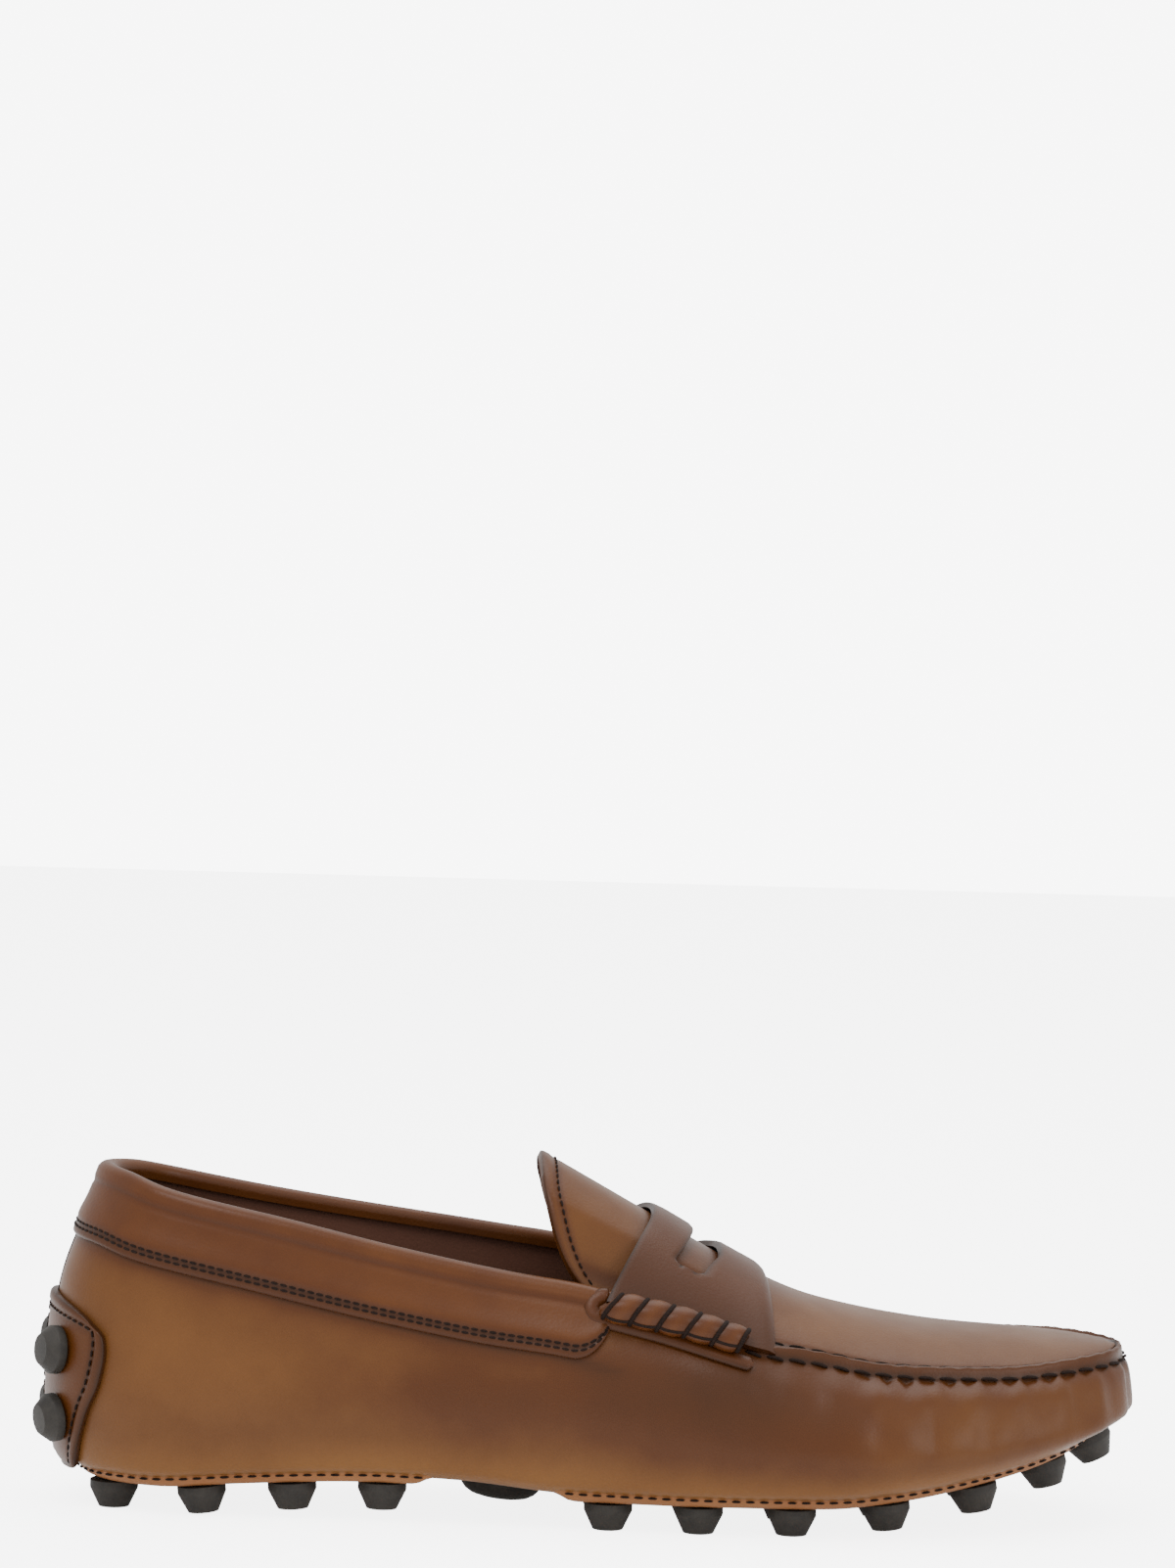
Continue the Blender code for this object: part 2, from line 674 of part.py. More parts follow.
def build_back_studs(mat):
    lift = PATCH_THICKNESS + 2 * CLEARANCE
    for level, v in (("low", 0.550), ("high", 0.700)):
        for side, sign in (("lateral", 1), ("medial", -1)):
            around = sign * BACK_STUD_APART / 2 / HEEL_ARC % 2.0
            seat = skin(around, v) + skin_normal(around, v) * lift
            build_stud(f"stud_back_{level}_{side}", seat, skin_normal(around, v), BACK_STUD_HEIGHT, mat)


def build_disc(mat):
    """Plain domed rubber disc under the arch."""
    x = LENGTH * DISC_PLACE
    slope = float(underside(x + 0.004) - underside(x - 0.004)) / 0.008
    out = np.array([slope, 0.0, -1.0]) / math.hypot(slope, 1.0)
    seat = np.array([x, 0.0, float(underside(x))]) + out * 2 * CLEARANCE
    side = np.array([1.0, 0.0, slope]) / math.hypot(slope, 1.0)
    other = np.cross(out, side)
    loops = []
    for level, radius in ((0.0, 1.0), (0.5, 1.0), (0.8, 0.86), (1.0, 0.55)):
        loops.append([seat + out * level * DISC_THICKNESS
                      + (side * math.cos(a) + other * math.sin(a)) * radius * DISC_RADIUS
                      for a in [2 * math.pi * s / 20 for s in range(20)]])
    return sweep("arch_disc", loops, mat)


def centre_on_floor():
    """Put the origin under the middle of the whole shoe's box."""
    pieces = [item for item in bpy.data.objects if item.type == "MESH"]
    corners = np.array([tuple(v.co) for item in pieces for v in item.data.vertices])
    middle = (corners.min(axis=0) + corners.max(axis=0)) / 2
    for item in pieces:
        item.data.transform(Matrix.Translation((-middle[0], -middle[1], 0.0)))


def build_shoe():
    global TURNS
    clear_scene()
    TURNS = even_turns(HALF_STEPS)
    leather = material("leather_body", (0.19, 0.075, 0.030), 0.38)
    strap_leather = material("leather_strap", (0.17, 0.065, 0.026), 0.36)
    band_leather = material("leather_band", (0.16, 0.060, 0.024), 0.36)
    sole_leather = material("leather_sole", (0.21, 0.090, 0.038), 0.50)
    lining = material("leather_lining", (0.062, 0.024, 0.014), 0.60)
    rubber = material("rubber_stud", (0.028, 0.024, 0.021), 0.70)
    build_upper(leather)
    build_band(band_leather)
    build_heel_patch(leather)
    build_tongue(leather)
    build_strap(strap_leather)
    build_roll("strap_roll_lateral", -1, strap_leather)
    build_roll("strap_roll_medial", 1, strap_leather)
    heel_end = float(turn_of(HEEL_SOLE_END))
    fore_start = float(turn_of(FORE_SOLE_START))
    under = (CLEARANCE, CLEARANCE + SOLE_THICKNESS)
    levels = (0.15, 0.27, 0.33)
    bottom_sheet("sole_heel", lambda t: t <= heel_end, sole_edge, *under, sole_leather, levels)
    bottom_sheet("sole_forefoot", lambda t: t >= fore_start, sole_edge, *under, sole_leather, levels)
    inside = (-WALL - CLEARANCE - INSOLE_THICKNESS, -WALL - CLEARANCE)
    bottom_sheet("insole", lambda t: True, lambda t: RINGS["tread"]["v"] + 0.02, *inside, lining)
    build_studs(rubber)
    build_back_studs(rubber)
    build_disc(rubber)
    centre_on_floor()


build_shoe()
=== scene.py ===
import math
import bmesh
import bpy
import numpy as np
from mathutils import Matrix, Vector


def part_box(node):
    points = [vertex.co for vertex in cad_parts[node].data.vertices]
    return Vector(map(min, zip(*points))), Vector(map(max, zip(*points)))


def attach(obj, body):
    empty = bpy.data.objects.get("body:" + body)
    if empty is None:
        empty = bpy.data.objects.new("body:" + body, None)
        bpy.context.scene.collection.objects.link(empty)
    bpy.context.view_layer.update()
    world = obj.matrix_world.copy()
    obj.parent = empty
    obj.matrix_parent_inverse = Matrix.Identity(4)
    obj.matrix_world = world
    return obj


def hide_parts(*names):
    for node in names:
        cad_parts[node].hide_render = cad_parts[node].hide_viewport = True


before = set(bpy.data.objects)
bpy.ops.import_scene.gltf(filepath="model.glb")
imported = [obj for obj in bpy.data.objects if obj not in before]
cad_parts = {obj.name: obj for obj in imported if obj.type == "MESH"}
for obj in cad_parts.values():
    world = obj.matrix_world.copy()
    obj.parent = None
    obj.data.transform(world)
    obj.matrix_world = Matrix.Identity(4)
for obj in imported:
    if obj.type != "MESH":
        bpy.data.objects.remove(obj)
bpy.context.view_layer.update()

# Sizes in metres, with the counts, shares and turns that go with them
LENGTH = 0.2905
BALL_WIDTH = 0.102
HEEL_HEIGHT = 0.081
SEAM_HEIGHT = 0.034
INSTEP_HEIGHT = 0.071
TOE_SPRING = 0.017
ARCH_RISE = 0.0032
WALL = 0.0020
CLEARANCE = 0.0003
SOLE_THICKNESS = 0.0016
SOLE_HALF_WIDTH = 0.040
SOLE_GIRTH = 0.43
SOLE_ROW_INSET = 0.010
INSOLE_THICKNESS = 0.0028
BAND_HEIGHT = 0.0180
BAND_FOLD = 0.0060
FOLD_SEEN = 0.30
BAND_THICKNESS = 0.0012
BAND_CORNER = 0.019
BAND_ROWS = (0.0021, 0.0034)
PATCH_HEIGHT = 0.0507
PATCH_THICKNESS = 0.0015
PATCH_BORDER = 0.0024
PATCH_GIRTH = 0.205
RIDGE_HEIGHT = 0.0018
RIDGE_HALF = 0.0015
TONGUE_THICKNESS = 0.0020
TONGUE_TUCK = 0.0030
TONGUE_HALF_WIDTH = 0.036
TONGUE_BORDER = 0.0038
STRAP_THICKNESS = 0.0018
SLOT_LENGTH = 0.0500
SLOT_ROUND = 0.07
ROLL_RADIUS = 0.0035
ROLL_PUFFS = 6
ROLL_DROP = 0.0030
ROLL_SLANT = 0.0019
LIP_HALF_WIDTH = 0.0023
LIP_HALF_THICKNESS = 0.0014
ROLL_START = 0.135
ROLL_END = 0.985
STUD_HEIGHT = 0.0072
STUD_BASE_RADIUS = 0.0066
STUD_FACE_RADIUS = 0.0039
STUD_BAND = 0.0022
BACK_STUD_HEIGHT = 0.0050
BACK_STUD_APART = 0.0190
BACK_STUD_LEVELS = (("low", 0.550), ("high", 0.700))
HEEL_ARC = 0.131
DISC_RADIUS = 0.0110
DISC_REACH = 0.0078
UNDERSIDE = STUD_HEIGHT + SOLE_THICKNESS + 2 * CLEARANCE

# Sewing: the apron's seam, then pitch, stitch and thread radius of the plain rows, then lone threads
SEAM_PITCH = 0.0057
SEAM_STITCH = 0.0044
SEAM_INSET = 0.0024
SEAM_OUTER_RADIUS = 0.00042
SEAM_INNER_RADIUS = 0.00032
BAND_SEWING = (0.0024, 0.0018, 0.00035)
SOLE_SEWING = (0.0036, 0.0023, 0.00032)
EDGE_SEWING = (0.0025, 0.0017, 0.00030)
MIDDLE_SEWING = (0.0025, 0.0017, 0.00028)
WHIP_RADIUS = 0.00062
WHIP_EDGE_RADIUS = 0.00040
BACK_SEAM_RADIUS = 0.00045

# Pixels of the photograph's frame, and its scale at the shoe
IMAGE_WIDTH = 1200
IMAGE_HEIGHT = 1602
PIXELS_PER_METRE = 3826
AIM_PIXEL = (603.6, 1370.5)
AIM_HEIGHT = 0.045
CAMERA_AZIMUTH = -3.6
CAMERA_ELEVATION = 8.0
CAMERA_ROLL = -1.68
CAMERA_DISTANCE = 1.25

# Strength of the floor and the backdrop, as light and as looked at
FLOOR_GLOW = (0.35, 5.0)
BACKDROP_GLOW = (1.40, 8.0)

RINGS = {
    "spine": dict(v=0.00, heel=0.100, toe=0.880, width=0.00),
    "tread": dict(v=0.27, heel=0.042, toe=0.930, width=0.76),
    "feather": dict(v=0.40, heel=0.012, toe=0.977, width=0.945),
    "widest": dict(v=0.60, heel=0.000, toe=1.000, width=1.00),
    "shoulder": dict(v=0.79, heel=0.005, toe=0.996, width=0.00),
    "edge": dict(v=1.00, heel=0.045, toe=0.984, width=0.00),
}

BOTTOM = [
    # length, arch, spring
    (0.00, 0.00, 0.000),
    (0.10, 0.00, 0.000),
    (0.17, 0.50, 0.000),
    (0.29, 1.00, 0.000),
    (0.37, 0.80, 0.000),
    (0.48, 0.00, 0.000),
    (0.70, 0.00, 0.000),
    (0.76, 0.00, 0.080),
    (0.83, 0.00, 0.270),
    (0.90, 0.00, 0.530),
    (0.96, 0.00, 0.850),
    (1.00, 0.00, 1.100),
]

WIDEST = [
    # share, lateral, medial, height
    (0.000, 0.000, 0.000, 0.60),
    (0.030, 0.225, 0.220, 0.60),
    (0.100, 0.325, 0.318, 0.60),
    (0.200, 0.352, 0.328, 0.60),
    (0.350, 0.385, 0.325, 0.62),
    (0.500, 0.445, 0.368, 0.56),
    (0.620, 0.500, 0.430, 0.42),
    (0.720, 0.512, 0.486, 0.38),
    (0.820, 0.455, 0.470, 0.42),
    (0.900, 0.362, 0.415, 0.50),
    (0.960, 0.244, 0.318, 0.58),
    (0.985, 0.135, 0.220, 0.63),
    (1.000, -0.045, 0.045, 0.66),
]

SHOULDER = [
    # share, lateral, medial, height over the heel's, height over the seam's
    (0.000, 0.000, 0.000, 0.560, 0.00),
    (0.030, 0.210, 0.205, 0.555, 0.00),
    (0.100, 0.305, 0.298, 0.540, 0.00),
    (0.200, 0.336, 0.312, 0.500, 0.00),
    (0.350, 0.368, 0.310, 0.460, 0.00),
    (0.500, 0.425, 0.350, 0.400, 0.06),
    (0.620, 0.460, 0.400, 0.080, 0.78),
    (0.720, 0.458, 0.430, 0.000, 0.84),
    (0.820, 0.400, 0.410, 0.000, 0.80),
    (0.900, 0.322, 0.370, 0.000, 0.82),
    (0.960, 0.212, 0.282, 0.000, 0.88),
    (0.985, 0.115, 0.198, 0.000, 0.92),
    (1.000, -0.045, 0.045, 0.000, 0.94),
]

EDGE = [
    # share, lateral, medial, lateral over the heel's, over the seam's, medial over the same two
    (0.000, 0.000, 0.000, 0.978, 0.00, 0.978, 0.00),
    (0.020, 0.135, 0.135, 0.965, 0.00, 0.968, 0.00),
    (0.060, 0.232, 0.230, 0.922, 0.00, 0.936, 0.00),
    (0.168, 0.288, 0.278, 0.845, 0.00, 0.865, 0.00),
    (0.278, 0.306, 0.285, 0.762, 0.00, 0.810, 0.00),
    (0.388, 0.328, 0.292, 0.692, 0.00, 0.758, 0.00),
    (0.480, 0.352, 0.308, 0.644, 0.00, 0.705, 0.00),
    (0.545, 0.366, 0.326, 0.395, 0.47, 0.435, 0.47),
    (0.645, 0.372, 0.345, 0.000, 1.14, 0.000, 1.22),
    (0.758, 0.345, 0.346, 0.000, 1.00, 0.000, 1.10),
    (0.868, 0.278, 0.316, 0.000, 0.97, 0.000, 1.07),
    (0.945, 0.194, 0.262, 0.000, 1.02, 0.000, 1.08),
    (0.985, 0.098, 0.172, 0.000, 1.05, 0.000, 1.07),
    (1.000, -0.045, 0.045, 0.000, 1.06, 0.000, 1.06),
]

FEATHER_RISE = [
    # share, share of the way up to the widest ring
    (0.00, 0.16),
    (0.50, 0.19),
    (0.80, 0.28),
    (1.00, 0.30),
]

INSTEP = [
    # length, height
    (0.430, 1.250),
    (0.541, 1.000),
    (0.647, 0.765),
    (0.692, 0.690),
    (0.729, 0.652),
    (0.781, 0.612),
    (0.822, 0.590),
    (0.908, 0.565),
    (0.952, 0.550),
    (0.984, 0.536),
]

RIDGE_START = 0.595
RIDGE_FULL = 0.660
THROAT = 0.622
STRAP_FRONT = 0.650
STRAP_REAR_TOP = 0.543
STRAP_REAR_SIDE = 0.500
STRAP_END = 1.03
TONGUE_TIP = 0.443
TONGUE_SIDE = 0.500
TONGUE_REACH = 0.860
SLOT_REAR = 0.573
SLOT_FRONT = 0.603
ROLL_REAR = 0.482
ROLL_FRONT = 0.620
BAND_END = 0.509
HEEL_SOLE_END = 0.345
FORE_SOLE_START = 0.465
DISC_PLACE = 0.415
# Rows of studs: share of the length, studs in the row
HEEL_ROWS = ((0.060, 2), (0.139, 3), (0.221, 3), (0.303, 3))
FORE_ROWS = ((0.506, 3), (0.587, 4), (0.671, 4), (0.756, 4), (0.838, 3), (0.908, 2))
SOLE_EDGE = 0.345
SOLE_EDGE_TOE = 0.390
TOE_STUD_LEVEL = 0.335
PATCH_LOW = 0.368
LEVELS_PER_METRE = 8.52
PATCH_TOP = PATCH_LOW + LEVELS_PER_METRE * PATCH_HEIGHT

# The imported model's origin, measured from the heel on the shoe's middle line
DISC_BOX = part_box("arch_disc")
SHIFT = np.array([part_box("upper")[0][0], (DISC_BOX[0][1] + DISC_BOX[1][1]) / 2, 0.0])


def curve(xs, ys, x, flat_ends=False):
    """Smooth curve through a table's points that never overshoots them."""
    xs, ys = np.asarray(xs, float), np.asarray(ys, float)
    h, d = np.diff(xs), np.diff(ys) / np.diff(xs)
    m = np.zeros(len(xs))
    for k in range(1, len(xs) - 1):
        if d[k - 1] * d[k] > 0:
            w1, w2 = 2 * h[k] + h[k - 1], h[k] + 2 * h[k - 1]
            m[k] = (w1 + w2) / (w1 / d[k - 1] + w2 / d[k])
    if not flat_ends:
        m[0], m[-1] = d[0], d[-1]
    x = np.clip(np.asarray(x, float), xs[0], xs[-1])
    k = np.clip(np.searchsorted(xs, x, side="right") - 1, 0, len(h) - 1)
    s = (x - xs[k]) / h[k]
    return (ys[k] * (1 + 2 * s) * (1 - s) ** 2 + ys[k + 1] * s * s * (3 - 2 * s)
            + h[k] * s * (1 - s) * (m[k] * (1 - s) - m[k + 1] * s))


def step_up(x, start, end):
    """0 before start, 1 after end, smooth between."""
    s = np.clip((np.asarray(x, float) - start) / (end - start), 0, 1)
    return s * s * (3 - 2 * s)


def bump_at(x, centre, width):
    return np.exp(-((np.asarray(x, float) - centre) / width) ** 2)


def column(table, number):
    return [row[number] for row in table]


def turn_of(share):
    """Turn from the heel, 0, to the toe, 1, at a share of a ring's length."""
    return np.arccos(1 - 2 * np.clip(share, 0, 1)) / math.pi


def share_of(turn):
    return (1 - np.cos(math.pi * turn)) / 2


def by_turn(table, number, turn, flat_ends=False):
    return curve(turn_of(np.array(column(table, 0))), column(table, number), turn, flat_ends)


def underside(x):
    share = np.asarray(x) / LENGTH
    lengths = column(BOTTOM, 0)
    arch = ARCH_RISE * curve(lengths, column(BOTTOM, 1), share)
    return UNDERSIDE + arch + TOE_SPRING * curve(lengths, column(BOTTOM, 2), share)


def table_height(table, number, turn):
    """Height from a table's shares of the heel's and of the seam's, which stand side by side."""
    return (UNDERSIDE + HEEL_HEIGHT * by_turn(table, number, turn, True)
            + SEAM_HEIGHT * by_turn(table, number + 1, turn, True))


def ring_points(around):
    """Points of the six rings at one place around the shoe: 0 heel, 1 toe, back to 2 at the heel."""
    around = around % 2.0
    lateral = around <= 1.0
    turn = around if lateral else 2.0 - around
    pick, sign = (1, -1) if lateral else (2, 1)
    wide = by_turn(WIDEST, pick, turn)
    middle = (by_turn(WIDEST, 2, turn) - by_turn(WIDEST, 1, turn)) / 2 * sign
    wide_height = UNDERSIDE + SEAM_HEIGHT * by_turn(WIDEST, 3, turn, True)
    points = []
    for name, ring in RINGS.items():
        x = LENGTH * (ring["heel"] + (ring["toe"] - ring["heel"]) * float(share_of(turn)))
        half, z = middle + (wide - middle) * ring["width"], float(underside(x))
        if name == "feather":
            z += (max(wide_height, z) - z) * by_turn(FEATHER_RISE, 1, turn, True)
        elif name == "widest":
            z = wide_height
        elif name == "shoulder":
            half, z = by_turn(SHOULDER, pick, turn), table_height(SHOULDER, 3, turn)
        elif name == "edge":
            half, z = by_turn(EDGE, pick, turn), table_height(EDGE, 1 + 2 * pick, turn)
        points.append((x, sign * BALL_WIDTH * float(half), float(z)))
    return points


def ring_turn(name, share):
    """Turn at which a ring reaches a share of the shoe's length."""
    ring = RINGS[name]
    return turn_of((share - ring["heel"]) / (ring["toe"] - ring["heel"]))


def edge_turn(share):
    return float(ring_turn("edge", share))


def edge_share(turn):
    ring = RINGS["edge"]
    return ring["heel"] + (ring["toe"] - ring["heel"]) * share_of(turn)


# The skin as a fine table: rings are evaluated once, smoothed, and read between
AROUND_STEPS = 480
LEVEL_STEPS = 200


def skin_table():
    levels = np.linspace(0, 1, LEVEL_STEPS + 1)
    names = [ring["v"] for ring in RINGS.values()]
    table = np.zeros((AROUND_STEPS, LEVEL_STEPS + 1, 3))
    for k in range(AROUND_STEPS):
        rings = np.array(ring_points(2.0 * k / AROUND_STEPS))
        for axis in range(3):
            table[k, :, axis] = curve(names, rings[:, axis], levels)
    return table


def blur_rows(values, reach, periodic):
    """Soften an array along its first axis."""
    taps = np.exp(-np.linspace(-2, 2, 2 * reach + 1) ** 2)
    taps /= taps.sum()
    if periodic:
        padded = np.concatenate([values[-reach:], values, values[:reach]])
    else:
        head = 2 * values[:1] - values[reach:0:-1]
        tail = 2 * values[-1:] - values[-2:-reach - 2:-1]
        padded = np.concatenate([head, values, tail])
    out = np.zeros_like(values)
    for k, tap in enumerate(taps):
        out += tap * padded[k:k + len(values)]
    return out


def smooth_skin():
    table = skin_table()
    soft = blur_rows(table, 7, True)
    soft = np.swapaxes(blur_rows(np.swapaxes(soft, 0, 1), 6, False), 0, 1)
    keep = step_up(np.linspace(0, 1, LEVEL_STEPS + 1), 0.20, 0.34)[None, :, None]
    return table * (1 - keep) + soft * keep


SKIN = smooth_skin()


def skin_normals():
    along = np.roll(SKIN, -1, axis=0) - np.roll(SKIN, 1, axis=0)
    up = np.gradient(SKIN, axis=1)
    normals = np.cross(along, up)
    size = np.linalg.norm(normals, axis=2, keepdims=True)
    normals = normals / np.maximum(size, 1e-12)
    flat = int(RINGS["tread"]["v"] * LEVEL_STEPS) + 1
    x = SKIN[:, :flat, 0]
    slope = (underside(x + 0.001) - underside(x - 0.001)) / 0.002
    down = np.stack([slope, np.zeros_like(slope), -np.ones_like(slope)], axis=2)
    normals[:, :flat] = down / np.linalg.norm(down, axis=2, keepdims=True)
    return normals


NORMALS = skin_normals()


def read_table(table, around, level):
    """Bilinear reading of a skin table at arrays of places."""
    a = (np.asarray(around, float) % 2.0) / 2.0 * AROUND_STEPS
    v = np.clip(np.asarray(level, float), 0, 1) * LEVEL_STEPS
    i, j = np.floor(a).astype(int), np.minimum(np.floor(v).astype(int), LEVEL_STEPS - 1)
    fa, fv = (a - i)[..., None], (v - j)[..., None]
    i0, i1 = i % AROUND_STEPS, (i + 1) % AROUND_STEPS
    low = table[i0, j] * (1 - fa) + table[i1, j] * fa
    high = table[i0, j + 1] * (1 - fa) + table[i1, j + 1] * fa
    return low * (1 - fv) + high * fv


def skin(around, level):
    return read_table(SKIN, around, level)


def skin_out(around, level):
    normal = read_table(NORMALS, around, level)
    return normal / np.linalg.norm(normal, axis=-1, keepdims=True)


def lifted(around, level, lift):
    """Points at a distance outside the skin."""
    return skin(around, level) + skin_out(around, level) * np.asarray(lift)[..., None]


def wall_height(around, top=0.2):
    """Height of the skin's wall for each unit of level, measured over its top."""
    return np.linalg.norm(skin(around, 1.0) - skin(around, 1 - top), axis=-1) / top


def run_along(line):
    """Distance run along a line of points, at each of them."""
    return np.concatenate([[0], np.cumsum(np.linalg.norm(np.diff(line, axis=0), axis=1))])


# The instep over the opening, between the two halves of the edge ring
TOP_SHARES = np.linspace(0.42, RINGS["edge"]["toe"], 300)
TOP_HEIGHTS = blur_rows(curve(column(INSTEP, 0), column(INSTEP, 1), TOP_SHARES), 12, False)


def instep(share, q):
    """Point of the instep: q runs from -1 at the lateral edge to 1 at the medial one."""
    share, q = np.broadcast_arrays(np.asarray(share, float), np.asarray(q, float))
    turn = ring_turn("edge", share)
    left, right = skin(turn, 1.0), skin(2.0 - turn, 1.0)
    mix = ((q + 1) / 2)[..., None]
    base = left * (1 - mix) + right * mix
    mean = (left[..., 2] + right[..., 2]) / 2
    top = UNDERSIDE + INSTEP_HEIGHT * np.interp(share, TOP_SHARES, TOP_HEIGHTS)
    base[..., 2] += (top - mean) * (1 - np.abs(q) ** 2.2)
    return base


def instep_out(share, q, step=0.004):
    share, q = np.broadcast_arrays(np.asarray(share, float), np.asarray(q, float))
    along = instep(share + step, q) - instep(share - step, q)
    across = instep(share, q + step) - instep(share, q - step)
    normal = np.cross(along, across)
    return normal / np.linalg.norm(normal, axis=-1, keepdims=True)


def add_object(name, data):
    item = bpy.data.objects.new(name, data)
    bpy.context.scene.collection.objects.link(item)
    return item


def make_piece(name, points, faces, mats, nodes=(), tone=None, face_mats=None):
    mesh = bpy.data.meshes.new(name)
    placed = np.asarray(points, float) + SHIFT
    mesh.from_pydata([tuple(p) for p in placed], [], faces)
    shape = bmesh.new()
    shape.from_mesh(mesh)
    bmesh.ops.recalc_face_normals(shape, faces=shape.faces)
    shape.to_mesh(mesh)
    shape.free()
    for mat in mats:
        mesh.materials.append(mat)
    if face_mats is not None:
        mesh.polygons.foreach_set("material_index", face_mats)
    if tone is not None:
        layer = mesh.attributes.new("tone", "FLOAT", "POINT")
        layer.data.foreach_set("value", np.asarray(tone, float))
    mesh.shade_smooth()
    mesh.set_sharp_from_angle(angle=math.radians(50))
    piece = add_object(name, mesh)
    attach(piece, "root")
    if nodes:
        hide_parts(*nodes)


def grid_faces(rows, cols, wrap=False, holes=None):
    faces = []
    for r in range(rows - 1):
        for c in range(cols if wrap else cols - 1):
            if holes is None or not holes[r, c]:
                d = (c + 1) % cols
                faces.append((r * cols + c, r * cols + d, (r + 1) * cols + d, (r + 1) * cols + c))
    return faces


def merged_faces(ids, closed):
    """Faces between the rows of a table of point numbers, without corners that fall together."""
    rows, cols = ids.shape
    faces = []
    for r in range(rows if closed else rows - 1):
        s = (r + 1) % rows
        for c in range(cols - 1):
            face = (ids[r, c], ids[s, c], ids[s, c + 1], ids[r, c + 1])
            faces.append(tuple(dict.fromkeys(int(f) for f in face)))
    return faces


def drop_unused(faces, *tables):
    """Faces renumbered, and the tables without the rows that no face uses."""
    used = np.unique(np.array([k for face in faces for k in face]))
    renumber = {int(k): n for n, k in enumerate(used)}
    return [tuple(renumber[k] for k in face) for face in faces], *[table[used] for table in tables]


def circle(sides):
    return 2 * math.pi * np.arange(sides) / sides


def round_ring(side, other, sides):
    """Ring of points with two directions as its half axes."""
    angles = circle(sides)[:, None]
    return side * np.cos(angles) + other * np.sin(angles)


def make_sheet(name, outer, inner, faces, mat, node, tone, inner_tone, lining=None):
    """Closed piece between two copies of one sheet, with a lining on its inner side if it has one."""
    outer, inner, tone = outer.reshape(-1, 3), inner.reshape(-1, 3), tone.ravel()
    count = len(outer)
    seen = {(a, b) for face in faces for a, b in zip(face, face[1:] + face[:1])}
    solid = list(faces) + [tuple(count + k for k in reversed(face)) for face in faces]
    solid += [(b, a, count + a, count + b) for a, b in sorted(seen) if (b, a) not in seen]
    face_mats = np.zeros(len(solid), int)
    if lining:
        face_mats[len(faces):2 * len(faces)] = 1
    make_piece(name, np.concatenate([outer, inner]), solid, [mat, lining] if lining else [mat], [node],
               np.concatenate([tone, np.broadcast_to(inner_tone, tone.shape)]), face_mats)


# Materials


def to_linear(colour):
    return tuple(c / 255 / 12.92 if c <= 10.3 else ((c / 255 + 0.055) / 1.055) ** 2.4 for c in colour)


def set_inputs(node, **values):
    """Set a node's sockets; an underscore in a name stands for a space."""
    for name, value in values.items():
        node.inputs[name.replace("_", " ")].default_value = value


def new_material(name, **values):
    """A material, its nodes and links, its shader with these values, and the place on the surface."""
    mat = bpy.data.materials.new(name)
    mat.use_nodes = True
    nodes, links = mat.node_tree.nodes, mat.node_tree.links
    shader = nodes["Principled BSDF"]
    set_inputs(shader, **values)
    return mat, nodes, links, shader, nodes.new("ShaderNodeNewGeometry").outputs["Position"]


def noise_node(nodes, links, place, scale, detail, rough):
    node = nodes.new("ShaderNodeTexNoise")
    set_inputs(node, Scale=scale, Detail=detail, Roughness=rough)
    links.new(place, node.inputs["Vector"])
    return node.outputs["Fac"]


def paint(nodes, links, shader, value, stops):
    """Colour a shader by a value between stops of linear colours."""
    node = nodes.new("ShaderNodeValToRGB")
    ramp = node.color_ramp
    while len(ramp.elements) < len(stops):
        ramp.elements.new(0.5)
    for element, (place, colour) in zip(ramp.elements, stops):
        element.position = place
        element.color = (*colour, 1)
    links.new(value, node.inputs["Fac"])
    links.new(node.outputs["Color"], shader.inputs["Base Color"])


def add_bump(nodes, links, shader, height, strength):
    bump = nodes.new("ShaderNodeBump")
    set_inputs(bump, Strength=strength, Distance=0.0002)
    links.new(height, bump.inputs["Height"])
    links.new(bump.outputs["Normal"], shader.inputs["Normal"])


def math_node(nodes, links, kind, *values):
    node = nodes.new("ShaderNodeMath")
    node.operation = kind
    for socket, value in zip(node.inputs, values):
        if isinstance(value, (int, float)):
            socket.default_value = value
        else:
            links.new(value, socket)
    return node.outputs[0]


def leather(name, light, middle, dark, roughness=0.38, grain=0.12, shift=0.0):
    """Burnished calf: the tone attribute darkens seams and edges and carries painted shade and a painted
    highlight, noise clouds it, pores roughen it.
    """
    mat, nodes, links, shader, place = new_material(name, Specular_IOR_Level=0.20)
    tone = nodes.new("ShaderNodeAttribute")
    tone.attribute_name = "tone"
    cloud = noise_node(nodes, links, place, 22.0, 4.0, 0.55)
    streak = noise_node(nodes, links, place, 120.0, 3.0, 0.6)
    value = math_node(nodes, links, "MULTIPLY_ADD", cloud, 0.34, shift - 0.20)
    value = math_node(nodes, links, "ADD", value, math_node(nodes, links, "MULTIPLY", streak, 0.08))
    value = math_node(nodes, links, "ADD", value, tone.outputs["Fac"])
    paint(nodes, links, shader, value,
          [(0.0, to_linear(light)), (0.42, to_linear(middle)), (1.0, to_linear(dark))])
    rough = nodes.new("ShaderNodeMapRange")
    set_inputs(rough, To_Min=roughness - 0.06, To_Max=roughness + 0.10)
    links.new(noise_node(nodes, links, place, 60.0, 3.0, 0.5), rough.inputs["Value"])
    links.new(rough.outputs["Result"], shader.inputs["Roughness"])
    pores = nodes.new("ShaderNodeTexVoronoi")
    set_inputs(pores, Scale=1300.0)
    links.new(place, pores.inputs["Vector"])
    fine = noise_node(nodes, links, place, 900.0, 2.0, 0.6)
    add_bump(nodes, links, shader, math_node(nodes, links, "ADD", pores.outputs["Distance"], fine), grain)
    return mat


